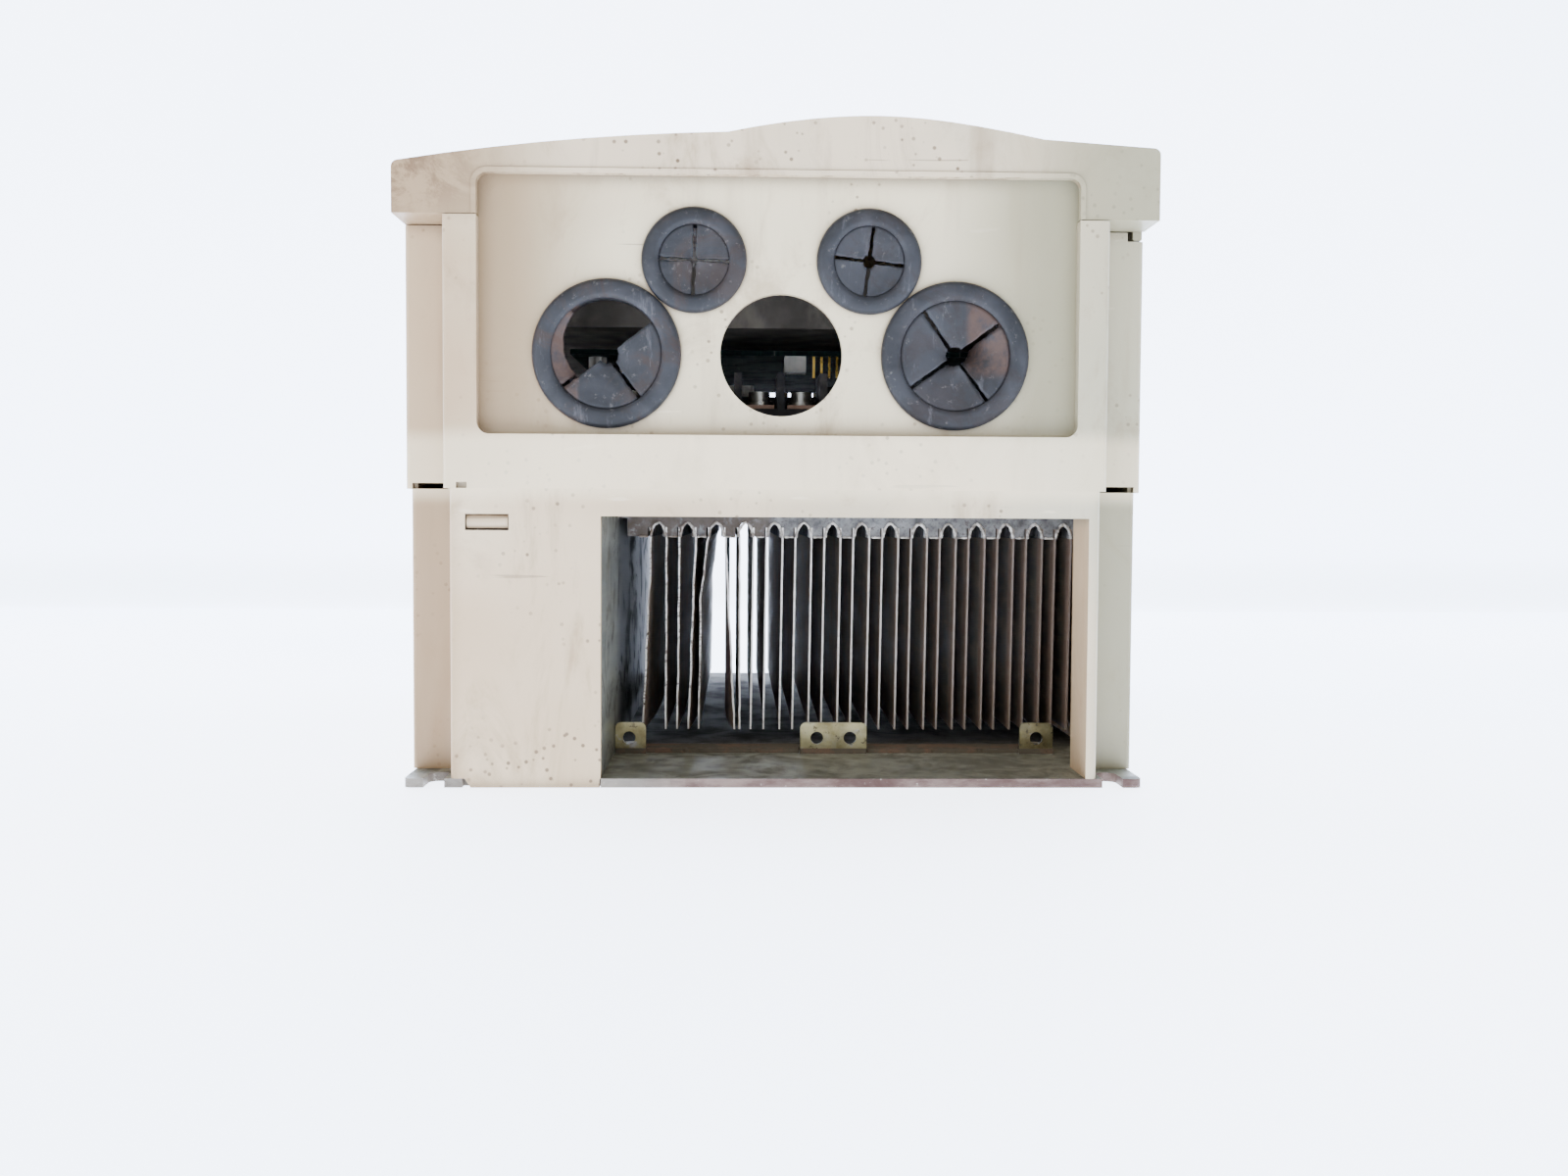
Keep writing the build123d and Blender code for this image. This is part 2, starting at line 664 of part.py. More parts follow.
with BuildPart() as grommet_small_left:
    bushing(entry_offset - small_entry_x, small_z, small_hole, small_flange, small_membrane,
            0.9, small_slit_turn)
grommet_small_left.part.label = "grommet_small_left"
export_step(grommet_small_left.part, "parts/grommet_small_left.step")

with BuildPart() as grommet_small_right:
    bushing(entry_offset + small_entry_x, small_z, small_hole, small_flange, small_membrane,
            0.9, small_slit_turn)
grommet_small_right.part.label = "grommet_small_right"
export_step(grommet_small_right.part, "parts/grommet_small_right.step")

# ================================================================ power parts


def power_module(middle_x, middle_y, width, length):
    """Potted module with a screw ear at each corner."""
    block(middle_x - width / 2, middle_x + width / 2, middle_y - length / 2,
          middle_y + length / 2, sink_top, sink_top + module_ear)
    block(middle_x - width / 2, middle_x + width / 2, middle_y - length / 2 + 12.0,
          middle_y + length / 2 - 12.0, sink_top + module_ear, power_board_z)
    for side_x, side_y in quadrants:
        upright(middle_x + side_x * (width / 2 - 9.0), middle_y + side_y * (length / 2 - 6.0),
                sink_top, sink_top + module_ear, module_screw / 2, Mode.SUBTRACT)


with BuildPart() as diode_module:
    power_module(*modules[0])
diode_module.part.label = "diode_module"
export_step(diode_module.part, "parts/diode_module.step")

with BuildPart() as transistor_module:
    power_module(*modules[1])
transistor_module.part.label = "transistor_module"
export_step(transistor_module.part, "parts/transistor_module.step")

with BuildPart() as module_screws:
    ear_top = sink_top + module_ear
    for hole_x, hole_y in module_holes:
        upright(hole_x, hole_y, sink_top - 5.0, ear_top, module_screw / 2)
        upright(hole_x, hole_y, ear_top, ear_top + 3.6, module_screw * 0.88)
        upright(hole_x, hole_y, ear_top + 1.8, ear_top + 3.6, 1.4, Mode.SUBTRACT)
module_screws.part.label = "module_screws"
export_step(module_screws.part, "parts/module_screws.step")

capacitor_pitch = (power_board_far - power_board_near - capacitor_diameter - 24.0) / 2
capacitor_middle = (power_board_far + power_board_near) / 2

with BuildPart() as bus_capacitors:
    for i in (-1, 0, 1):
        cap_y = capacitor_middle + i * capacitor_pitch
        upright(tub_middle, cap_y, power_board_z - capacitor_length, power_board_z,
                capacitor_diameter / 2)
    fillet(bus_capacitors.edges().filter_by(GeomType.CIRCLE).group_by(Axis.Z)[0], 2.0)
bus_capacitors.part.label = "bus_capacitors"
export_step(bus_capacitors.part, "parts/bus_capacitors.step")

board_top = power_board_z + board_thickness
spacer_spots = ((-58.0, power_board_near + 12.0), (duct_right - 22.0, power_board_near + 12.0),
                (-58.0, 62.0), (duct_right - 22.0, 62.0))

with BuildPart() as power_board:
    block(-half_x + upper_wall + 1.5, half_x - upper_wall - 1.5, power_board_near,
          power_board_far, power_board_z, board_top)
    for spot_x, spot_y in standoffs:
        upright(spot_x, spot_y, power_board_z, board_top, 1.6, Mode.SUBTRACT)
power_board.part.label = "power_board"
export_step(power_board.part, "parts/power_board.step")

with BuildPart() as board_standoffs:
    for spot_x, spot_y in standoffs:
        upright(spot_x, spot_y, sink_top, power_board_z, 4.0)
board_standoffs.part.label = "board_standoffs"
export_step(board_standoffs.part, "parts/board_standoffs.step")

with BuildPart() as current_sensors:
    for sensor_x in (26.0, 54.0):
        sensor_y = power_board_near + 22.0
        block(sensor_x - 10.0, sensor_x + 10.0, sensor_y - 6.0, sensor_y + 6.0, board_top,
              board_top + 20.0)
        crossbar(sensor_x, board_top + 11.0, sensor_y - 6.0, sensor_y + 6.0, 5.0,
                 Mode.SUBTRACT)
current_sensors.part.label = "current_sensors"
export_step(current_sensors.part, "parts/current_sensors.step")

with BuildPart() as inrush_relay:
    block(-36.0, -6.0, power_board_near + 14.0, power_board_near + 30.0, board_top,
          board_top + 20.0)
    fillet(inrush_relay.edges().filter_by(Axis.Z), 1.5)
inrush_relay.part.label = "inrush_relay"
export_step(inrush_relay.part, "parts/inrush_relay.step")

with BuildPart() as transformer:
    block(-50.0, -14.0, 78.0, 108.0, board_top, board_top + 4.0)
    block(-46.0, -18.0, 82.0, 104.0, board_top + 4.0, board_top + 20.0)
    block(-50.0, -14.0, 78.0, 108.0, board_top + 20.0, board_top + 24.0)
    block(-38.0, -26.0, 76.0, 110.0, board_top + 8.0, board_top + 16.0)
transformer.part.label = "transformer"
export_step(transformer.part, "parts/transformer.step")

with BuildPart() as bus_bars:
    for bar_y in (-10.0, 16.0):
        block(tub_middle - 12.0, -8.0, bar_y, bar_y + 12.0, board_top, board_top + 2.0)
        block(-10.0, -8.0, bar_y, bar_y + 12.0, board_top + 2.0, board_top + 12.0)
bus_bars.part.label = "bus_bars"
export_step(bus_bars.part, "parts/bus_bars.step")

with BuildPart() as charge_lamp:
    upright(-75.0, power_board_near + 8.0, board_top, board_top + 7.0, 2.5)
    fillet(charge_lamp.edges().filter_by(GeomType.CIRCLE).group_by(Axis.Z)[-1], 2.0)
charge_lamp.part.label = "charge_lamp"
export_step(charge_lamp.part, "parts/charge_lamp.step")

# ================================================================ main terminals
term_half = terminal_count * terminal_pitch / 2
term_left = entry_offset + 0.8 - term_half
term_far = shelf_end
term_near = term_far - terminal_depth
term_top = window_bottom + terminal_base
term_spots = [term_left + (i + 0.5) * terminal_pitch for i in range(terminal_count)]
term_screw_y = term_near + 8.0

with BuildPart() as main_terminal_block:
    block(term_left, term_left + 2 * term_half, term_near, term_far, window_bottom, term_top)
    block(term_left, term_left + 2 * term_half, term_far - 8.0, term_far, term_top,
          term_top + 5.0)
    for i in range(terminal_count + 1):
        rib_x = term_left + i * terminal_pitch
        block(max(rib_x - partition_thickness / 2, term_left),
              min(rib_x + partition_thickness / 2, term_left + 2 * term_half),
              term_near, term_far, term_top, term_top + partition_rise)
    for spot in term_spots:
        upright(spot, term_screw_y, term_top - 6.0, term_top, 2.5, Mode.SUBTRACT)
main_terminal_block.part.label = "main_terminal_block"
export_step(main_terminal_block.part, "parts/main_terminal_block.step")

with BuildPart() as main_terminal_plates:
    for spot in term_spots:
        block(spot - 4.6, spot + 4.6, term_near + 1.0, term_far - 8.0, term_top,
              term_top + 1.2)
        upright(spot, term_screw_y, term_top, term_top + 1.2, 2.5, Mode.SUBTRACT)
main_terminal_plates.part.label = "main_terminal_plates"
export_step(main_terminal_plates.part, "parts/main_terminal_plates.step")

with BuildPart() as main_terminal_screws:
    for spot in term_spots:
        upright(spot, term_screw_y, term_top - 6.0, term_top + 1.2, 2.5)
        upright(spot, term_screw_y, term_top + 1.2, term_top + 2.4, 4.4)
        upright(spot, term_screw_y, term_top + 2.4, term_top + 5.6, terminal_screw_head / 2)
        block(spot - 0.5, spot + 0.5, term_screw_y - 2.6, term_screw_y + 2.6,
              term_top + 4.4, term_top + 5.6, Mode.SUBTRACT)
        block(spot - 2.6, spot + 2.6, term_screw_y - 0.5, term_screw_y + 0.5,
              term_top + 4.4, term_top + 5.6, Mode.SUBTRACT)
main_terminal_screws.part.label = "main_terminal_screws"
export_step(main_terminal_screws.part, "parts/main_terminal_screws.step")

# ================================================================ control boards
drive_near = power_board_near + 2.0
drive_left = -66.0
drive_right = duct_right - 14.0

with BuildPart() as drive_board:
    block(drive_left, drive_right, drive_near, 70.0, drive_board_z,
          drive_board_z + board_thickness)
drive_board.part.label = "drive_board"
export_step(drive_board.part, "parts/drive_board.step")

with BuildPart() as drive_board_spacers:
    for spot_x, spot_y in spacer_spots:
        upright(spot_x, spot_y, board_top, drive_board_z, 3.0)
drive_board_spacers.part.label = "drive_board_spacers"
export_step(drive_board_spacers.part, "parts/drive_board_spacers.step")

with BuildPart() as drive_connector:
    block(4.0, 11.0, drive_near + 0.5, drive_near + 8.0, drive_board_z - 5.4, drive_board_z)
    block(-50.0, -20.0, drive_near + 0.5, drive_near + 8.0, drive_board_z - 5.4,
          drive_board_z)
drive_connector.part.label = "drive_connector"
export_step(drive_connector.part, "parts/drive_connector.step")

with BuildPart() as pin_header:
    for i in range(8):
        pin_x = 13.6 + i * 2.54
        block(pin_x - 0.4, pin_x + 0.4, drive_near + 2.0, drive_near + 2.8,
              drive_board_z - 7.0, drive_board_z)
pin_header.part.label = "pin_header"
export_step(pin_header.part, "parts/pin_header.step")

control_near = shelf_end
control_far = panel_y + 28.0
control_left = -72.0
control_right = 84.0
control_spots = ((control_left + 5.0, control_near + 18.0),
                 (control_right - 5.0, control_near + 18.0),
                 (control_left + 5.0, control_far - 5.0),
                 (control_right - 5.0, control_far - 5.0))
tray_top = tray_z + tray_thickness

with BuildPart() as control_tray:
    block(-half_x + upper_wall, half_x - upper_wall, control_near - 4.0, control_far + 20.0,
          tray_z, tray_top)
    block(window_left, window_right, control_near - 6.0, control_near - 4.0, tray_z,
          tray_z + tray_skirt)
    for spot_x, spot_y in control_spots:
        upright(spot_x, spot_y, tray_top, control_board_z, 3.5)
        upright(spot_x, spot_y, tray_top, control_board_z, 1.3, Mode.SUBTRACT)
control_tray.part.label = "control_tray"
export_step(control_tray.part, "parts/control_tray.step")

control_top = control_board_z + board_thickness

with BuildPart() as control_board:
    block(control_left, control_right, control_near, control_far, control_board_z,
          control_top)
    for spot_x, spot_y in control_spots:
        upright(spot_x, spot_y, control_board_z, control_top, 1.3, Mode.SUBTRACT)
control_board.part.label = "control_board"
export_step(control_board.part, "parts/control_board.step")

with BuildPart() as board_screws:
    for spot_x, spot_y in control_spots:
        upright(spot_x, spot_y, tray_top, control_top, 1.3)
        upright(spot_x, spot_y, control_top, control_top + 2.0, 2.6)
        upright(spot_x, spot_y, control_top + 0.9, control_top + 2.0, 0.9, Mode.SUBTRACT)
    for spot_x, spot_y in standoffs:
        upright(spot_x, spot_y, power_board_z, board_top, 1.6)
        upright(spot_x, spot_y, board_top, board_top + 2.2, 3.0)
        upright(spot_x, spot_y, board_top + 1.0, board_top + 2.2, 1.0, Mode.SUBTRACT)
board_screws.part.label = "board_screws"
export_step(board_screws.part, "parts/board_screws.step")

signal_count = 20
signal_pitch = 5.2
signal_left = entry_offset - signal_count * signal_pitch / 2
signal_spots = [signal_left + (i + 0.5) * signal_pitch for i in range(signal_count)]
signal_y = control_near + 6.0
signal_top = control_top + 10.4

with BuildPart() as control_terminal_block:
    block(signal_left, signal_left + signal_count * signal_pitch, control_near,
          control_near + 12.0, control_top, signal_top)
    for spot in signal_spots:
        upright(spot, signal_y, control_top + 2.0, signal_top, 1.9, Mode.SUBTRACT)
        block(spot - 1.6, spot + 1.6, control_near, control_near + 4.0,
              control_top + 1.0, control_top + 4.6, Mode.SUBTRACT)
control_terminal_block.part.label = "control_terminal_block"
export_step(control_terminal_block.part, "parts/control_terminal_block.step")

with BuildPart() as control_terminal_screws:
    for spot in signal_spots:
        upright(spot, signal_y, control_top + 5.2, control_top + 9.4, 1.9)
        block(spot - 0.3, spot + 0.3, signal_y - 1.9, signal_y + 1.9, control_top + 8.6,
              control_top + 9.4, Mode.SUBTRACT)
control_terminal_screws.part.label = "control_terminal_screws"
export_step(control_terminal_screws.part, "parts/control_terminal_screws.step")

with BuildPart() as panel_socket:
    block(panel_x - 10.0, panel_x + 10.0, panel_y - 5.0, panel_y + 5.0, control_top,
          control_top + 10.0)
    block(panel_x - 8.0, panel_x + 8.0, panel_y - 3.0, panel_y + 3.0, control_top + 2.0,
          control_top + 10.0, Mode.SUBTRACT)
panel_socket.part.label = "panel_socket"
export_step(panel_socket.part, "parts/panel_socket.step")

# ================================================================ front cover
cover_half_y = half_y - cover_end_inset
pocket_x = panel_width / 2 + slide_gap
pocket_y = panel_height / 2 + slide_gap
ledge_top = panel_bottom - body_gap
ledge_bottom = ledge_top - 2.0
screw_seat = overall_depth - right_eave_drop - 7.0
cover_screw_spots = [(half_x - cover_screw_inset, side * cover_screw_y) for side in (-1, 1)]

with BuildPart() as front_cover:
    with BuildSketch(Plane.XZ.offset(cover_half_y)):
        with BuildLine():
            crown(0.0, half_x, cover_bottom)
        make_face()
    extrude(amount=-2 * cover_half_y)
    left_eave = front_cover.edges().filter_by(Axis.Y).group_by(Axis.X)[0].sort_by(Axis.Z)[-1]
    right_eave = front_cover.edges().filter_by(Axis.Y).group_by(Axis.X)[-1].sort_by(Axis.Z)[-1]
    fillet([left_eave, right_eave], cover_corner)
    with BuildSketch(Plane.XZ.offset(cover_half_y - cover_skin)):
        with BuildLine():
            crown(cover_skin, half_x - cover_skin, cover_bottom)
        make_face()
    extrude(amount=-2 * (cover_half_y - cover_skin), mode=Mode.SUBTRACT)
    # well that carries the operation panel
    with BuildSketch(Plane.XZ.offset(-(panel_y - pocket_y - pocket_wall))):
        with BuildLine():
            crown(cover_skin / 2, half_x - cover_skin, cover_bottom)
        make_face()
        with Locations((panel_x, (ledge_bottom + overall_depth) / 2)):
            Rectangle(2 * (pocket_x + pocket_wall), overall_depth - ledge_bottom,
                      mode=Mode.INTERSECT)
    extrude(amount=-2 * (pocket_y + pocket_wall))
    block(panel_x - pocket_x, panel_x + pocket_x, panel_y - pocket_y, panel_y + pocket_y,
          ledge_top, overall_depth + 2.0, Mode.SUBTRACT)
    block(panel_x - pocket_x + pocket_ledge, panel_x + pocket_x - pocket_ledge,
          panel_y - pocket_y + pocket_ledge, panel_y + pocket_y - pocket_ledge,
          ledge_bottom, ledge_top, Mode.SUBTRACT)
    # wells for the captive screws
    for spot_x, spot_y in cover_screw_spots:
        upright(spot_x, spot_y, cover_bottom, screw_seat + 5.5, cover_screw_head / 2 + 2.4)
        upright(spot_x, spot_y, screw_seat, overall_depth + 2.0, cover_screw_head / 2 + 0.4,
                Mode.SUBTRACT)
        upright(spot_x, spot_y, cover_bottom, screw_seat, cover_screw_diameter / 2,
                Mode.SUBTRACT)
    # window with its bead
    window_top = cover_bottom + cover_window_rise
    with BuildSketch(Plane.XZ.offset(cover_half_y)):
        with Locations(((window_left + window_right) / 2,
                        (window_top + bead_width + cover_bottom) / 2)):
            Rectangle(window_right - window_left + 2 * bead_width,
                      window_top + bead_width - cover_bottom)
        fillet(vertices().group_by(Axis.Y)[-1], cover_window_corner + bead_width)
    extrude(amount=cover_end_inset)
    with BuildSketch(Plane.XZ.offset(half_y)):
        with Locations(((window_left + window_right) / 2, (window_top + cover_bottom) / 2)):
            Rectangle(window_right - window_left, window_top - cover_bottom)
        fillet(vertices().group_by(Axis.Y)[-1], cover_window_corner)
    extrude(amount=-(cover_end_inset + cover_skin), mode=Mode.SUBTRACT)
    # tongues behind the left wall of the case
    for side in (-1, 1):
        block(-half_x + cover_skin - 0.2, -half_x + tongue_reach, side * tongue_y - 12.0,
              side * tongue_y + 12.0, cover_bottom, cover_bottom + 3.5)
        block(-half_x + upper_wall + 0.5, -half_x + tongue_reach, side * tongue_y - 12.0,
              side * tongue_y + 12.0, cover_bottom - 5.5, cover_bottom)
    # floor that closes the cover above the corner recesses of the case
    for sx, sy in quadrants:
        floor_in = sx * (upper_face + 0.4)
        floor_out = sx * (half_x - cover_skin + 0.5)
        floor_end = sy * (cover_half_y - cover_skin + 0.5)
        floor_start = sy * (half_y - corner_recess_depth)
        block(min(floor_in, floor_out), max(floor_in, floor_out), min(floor_end, floor_start),
              max(floor_end, floor_start), cover_bottom, cover_bottom + 2.0)
    # cut-out for the catch
    block(latch_left - 1.6, half_x, strip_near, latch_far + 0.3, cover_bottom,
          latch_top + 0.3, Mode.SUBTRACT)
front_cover.part.label = "front_cover"
export_step(front_cover.part, "parts/front_cover.step")

with BuildPart() as cover_screws:
    for spot_x, spot_y in cover_screw_spots:
        upright(spot_x, spot_y, cover_bottom + 0.2, screw_seat, cover_screw_diameter / 2)
        upright(spot_x, spot_y, screw_seat, screw_seat + 3.4, cover_screw_head / 2)
        upright(spot_x, spot_y, screw_seat + 1.6, screw_seat + 3.4, 1.5, Mode.SUBTRACT)
cover_screws.part.label = "cover_screws"
export_step(cover_screws.part, "parts/cover_screws.step")

with BuildPart() as cover_catch:
    block(latch_left, latch_right, latch_near, latch_far, latch_low, latch_top)
    fillet(cover_catch.edges().filter_by(Axis.Y), 0.6)
cover_catch.part.label = "cover_catch"
export_step(cover_catch.part, "parts/cover_catch.step")

# ================================================================ operation panel
display_x = panel_x + display_u
display_y = panel_y + display_v
dial_x = panel_x + dial_u
dial_y = panel_y + dial_v
under_face = panel_face - panel_wall
panel_board_top = panel_board_z + board_thickness
lights = [(panel_x + 16.0 + 8.5 * i, panel_y + 9.0 + 7.0 * j) for i in range(3)
          for j in range(2)]
keys = [(panel_x + key_u + i * key_pitch_u, panel_y + key_v - j * key_pitch_v)
        for j in range(2) for i in range(3)]

with BuildPart() as panel_housing:
    block(panel_x - panel_width / 2, panel_x + panel_width / 2, panel_y - panel_height / 2,
          panel_y + panel_height / 2, panel_bottom, panel_face)
    fillet(panel_housing.edges().filter_by(Axis.Z), panel_corner)
    fillet(panel_housing.faces().sort_by(Axis.Z)[-1].edges(), 1.0)
    block(panel_x - panel_width / 2 + panel_wall, panel_x + panel_width / 2 - panel_wall,
          panel_y - panel_height / 2 + panel_wall, panel_y + panel_height / 2 - panel_wall,
          panel_bottom, under_face, Mode.SUBTRACT)
    block(display_x - display_width / 2, display_x + display_width / 2,
          display_y - display_height / 2, display_y + display_height / 2, under_face,
          panel_face, Mode.SUBTRACT)
    upright(dial_x, dial_y, under_face, panel_face, dial_diameter / 2 + 0.5, Mode.SUBTRACT)
    for key_x, key_y in keys:
        block(key_x - key_width / 2 - slide_gap, key_x + key_width / 2 + slide_gap,
              key_y - key_height / 2 - slide_gap, key_y + key_height / 2 + slide_gap,
              under_face, panel_face, Mode.SUBTRACT)
    for light_x, light_y in lights:
        block(light_x - 1.6, light_x + 1.6, light_y - 0.8, light_y + 0.8, under_face,
              panel_face, Mode.SUBTRACT)
panel_housing.part.label = "panel_housing"
export_step(panel_housing.part, "parts/panel_housing.step")

with BuildPart() as display_window:
    block(display_x - display_width / 2, display_x + display_width / 2,
          display_y - display_height / 2, display_y + display_height / 2,
          under_face - 0.4, panel_face - 0.2)
display_window.part.label = "display_window"
export_step(display_window.part, "parts/display_window.step")

with BuildPart() as display_module:
    block(display_x - 19.0, display_x + 19.0, display_y - 6.0, display_y + 6.0,
          panel_board_top, under_face - 0.4)
    for digit in range(4):
        digit_x = display_x - 13.5 + 9.0 * digit
        for bar in (-1, 0, 1):
            block(digit_x - 2.2, digit_x + 2.2, display_y + bar * 4.2 - 0.4,
                  display_y + bar * 4.2 + 0.4, under_face - 0.8, under_face - 0.4,
                  Mode.SUBTRACT)
display_module.part.label = "display_module"
export_step(display_module.part, "parts/display_module.step")

with BuildPart() as status_lights:
    for light_x, light_y in lights:
        block(light_x - 1.6, light_x + 1.6, light_y - 0.8, light_y + 0.8, panel_board_top,
              panel_face)
status_lights.part.label = "status_lights"
export_step(status_lights.part, "parts/status_lights.step")

with BuildPart() as panel_board:
    block(panel_x - panel_width / 2 + panel_wall, panel_x + panel_width / 2 - panel_wall,
          panel_y - panel_height / 2 + panel_wall, panel_y + panel_height / 2 - panel_wall,
          panel_board_z, panel_board_top)
panel_board.part.label = "panel_board"
export_step(panel_board.part, "parts/panel_board.step")

with BuildPart() as panel_plug:
    block(panel_x - 10.0, panel_x + 10.0, panel_y - 5.0, panel_y + 5.0, panel_bottom - 4.0,
          panel_board_z)
panel_plug.part.label = "panel_plug"
export_step(panel_plug.part, "parts/panel_plug.step")

with BuildPart() as key_switches:
    for key_x, key_y in keys:
        block(key_x - 3.0, key_x + 3.0, key_y - 3.0, key_y + 3.0, panel_board_top,
              panel_board_top + switch_height)
key_switches.part.label = "key_switches"
export_step(key_switches.part, "parts/key_switches.step")

with BuildPart() as dial_encoder:
    block(dial_x - 6.0, dial_x + 6.0, dial_y - 6.0, dial_y + 6.0, panel_board_top,
          panel_board_top + 4.4)
    upright(dial_x, dial_y, panel_board_top + 1.0, panel_board_top + 4.4,
            3.0 + running_gap, Mode.SUBTRACT)
dial_encoder.part.label = "dial_encoder"
export_step(dial_encoder.part, "parts/dial_encoder.step")

with BuildPart() as setting_dial:
    knob_bottom = panel_board_top + 4.4 + body_gap
    knob_top = panel_face + dial_rise
    upright(dial_x, dial_y, knob_bottom, knob_top, dial_diameter / 2)
    fillet(setting_dial.faces().sort_by(Axis.Z)[-1].edges(), 0.8)
    upright(dial_x, dial_y, panel_board_top + 1.0 + body_gap, knob_bottom, 3.0)
    upright(dial_x + dial_diameter / 2 - 5.0, dial_y, knob_top - 0.8, knob_top, 2.6,
            Mode.SUBTRACT)
    with Locations((dial_x, dial_y, knob_top - 1.4)):
        with PolarLocations(dial_diameter / 2, 24):
            Cylinder(0.45, 2.8, mode=Mode.SUBTRACT)
setting_dial.part.label = "setting_dial"
export_step(setting_dial.part, "parts/setting_dial.step")


def key_cap(spot):
    """Key with a wider foot that keeps it in the housing."""
    key_x, key_y = spot
    foot = panel_board_top + switch_height + key_travel + 0.2
    block(key_x - key_width / 2, key_x + key_width / 2, key_y - key_height / 2,
          key_y + key_height / 2, foot, panel_face + key_rise)
    block(key_x - key_width / 2 - 0.9, key_x + key_width / 2 + 0.9,
          key_y - key_height / 2 - 0.9, key_y + key_height / 2 + 0.9, foot, foot + 1.2)


with BuildPart() as key_mode:
    key_cap(keys[0])
key_mode.part.label = "key_mode"
export_step(key_mode.part, "parts/key_mode.step")

with BuildPart() as key_set:
    key_cap(keys[1])
key_set.part.label = "key_set"
export_step(key_set.part, "parts/key_set.step")

with BuildPart() as key_source:
    key_cap(keys[2])
key_source.part.label = "key_source"
export_step(key_source.part, "parts/key_source.step")

with BuildPart() as key_reverse:
    key_cap(keys[3])
key_reverse.part.label = "key_reverse"
export_step(key_reverse.part, "parts/key_reverse.step")

with BuildPart() as key_forward:
    key_cap(keys[4])
key_forward.part.label = "key_forward"
export_step(key_forward.part, "parts/key_forward.step")

with BuildPart() as key_stop:
    key_cap(keys[5])
key_stop.part.label = "key_stop"
export_step(key_stop.part, "parts/key_stop.step")
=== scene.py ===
import math
import random

import bmesh
import bpy
from mathutils import Matrix, Vector


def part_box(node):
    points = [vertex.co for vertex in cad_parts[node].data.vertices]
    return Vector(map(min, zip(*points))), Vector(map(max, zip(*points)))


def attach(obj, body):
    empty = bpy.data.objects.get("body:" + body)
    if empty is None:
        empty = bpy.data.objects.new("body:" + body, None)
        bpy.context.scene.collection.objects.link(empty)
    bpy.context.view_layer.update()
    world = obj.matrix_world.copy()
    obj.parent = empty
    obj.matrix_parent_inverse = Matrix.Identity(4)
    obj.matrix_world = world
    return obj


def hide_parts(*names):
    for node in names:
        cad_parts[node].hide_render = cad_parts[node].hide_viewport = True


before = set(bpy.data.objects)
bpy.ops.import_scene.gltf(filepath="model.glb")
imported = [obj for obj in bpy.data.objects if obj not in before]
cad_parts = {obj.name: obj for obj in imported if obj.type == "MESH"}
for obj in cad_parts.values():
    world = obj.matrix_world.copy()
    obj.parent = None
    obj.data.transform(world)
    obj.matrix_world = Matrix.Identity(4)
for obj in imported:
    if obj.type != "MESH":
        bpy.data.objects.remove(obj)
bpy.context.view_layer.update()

MM = 0.001
random.seed(7)

# ------------------------------------------------------------------ camera
# Viewpoint in metres, turns in degrees and lens in millimetres, worked out from the ratios seen.
CAMERA_AT = (-0.01015, -0.58887, 0.07779)
PITCH_DOWN = 2.655
YAW_RIGHT = 1.614
ROLL = 0.311
LENS = 35.35

camera_data = bpy.data.cameras.new("camera")
camera_data.lens = LENS
camera_data.sensor_width = 36.0
camera_data.clip_start = 0.01
camera_data.clip_end = 50.0
camera = bpy.data.objects.new("camera", camera_data)
camera.location = CAMERA_AT
camera.rotation_euler = (Matrix.Rotation(math.radians(-YAW_RIGHT), 3, "Z")
                         @ Matrix.Rotation(math.radians(90.0 - PITCH_DOWN), 3, "X")
                         @ Matrix.Rotation(math.radians(ROLL), 3, "Z")).to_euler()
bpy.context.scene.collection.objects.link(camera)
bpy.context.scene.camera = camera


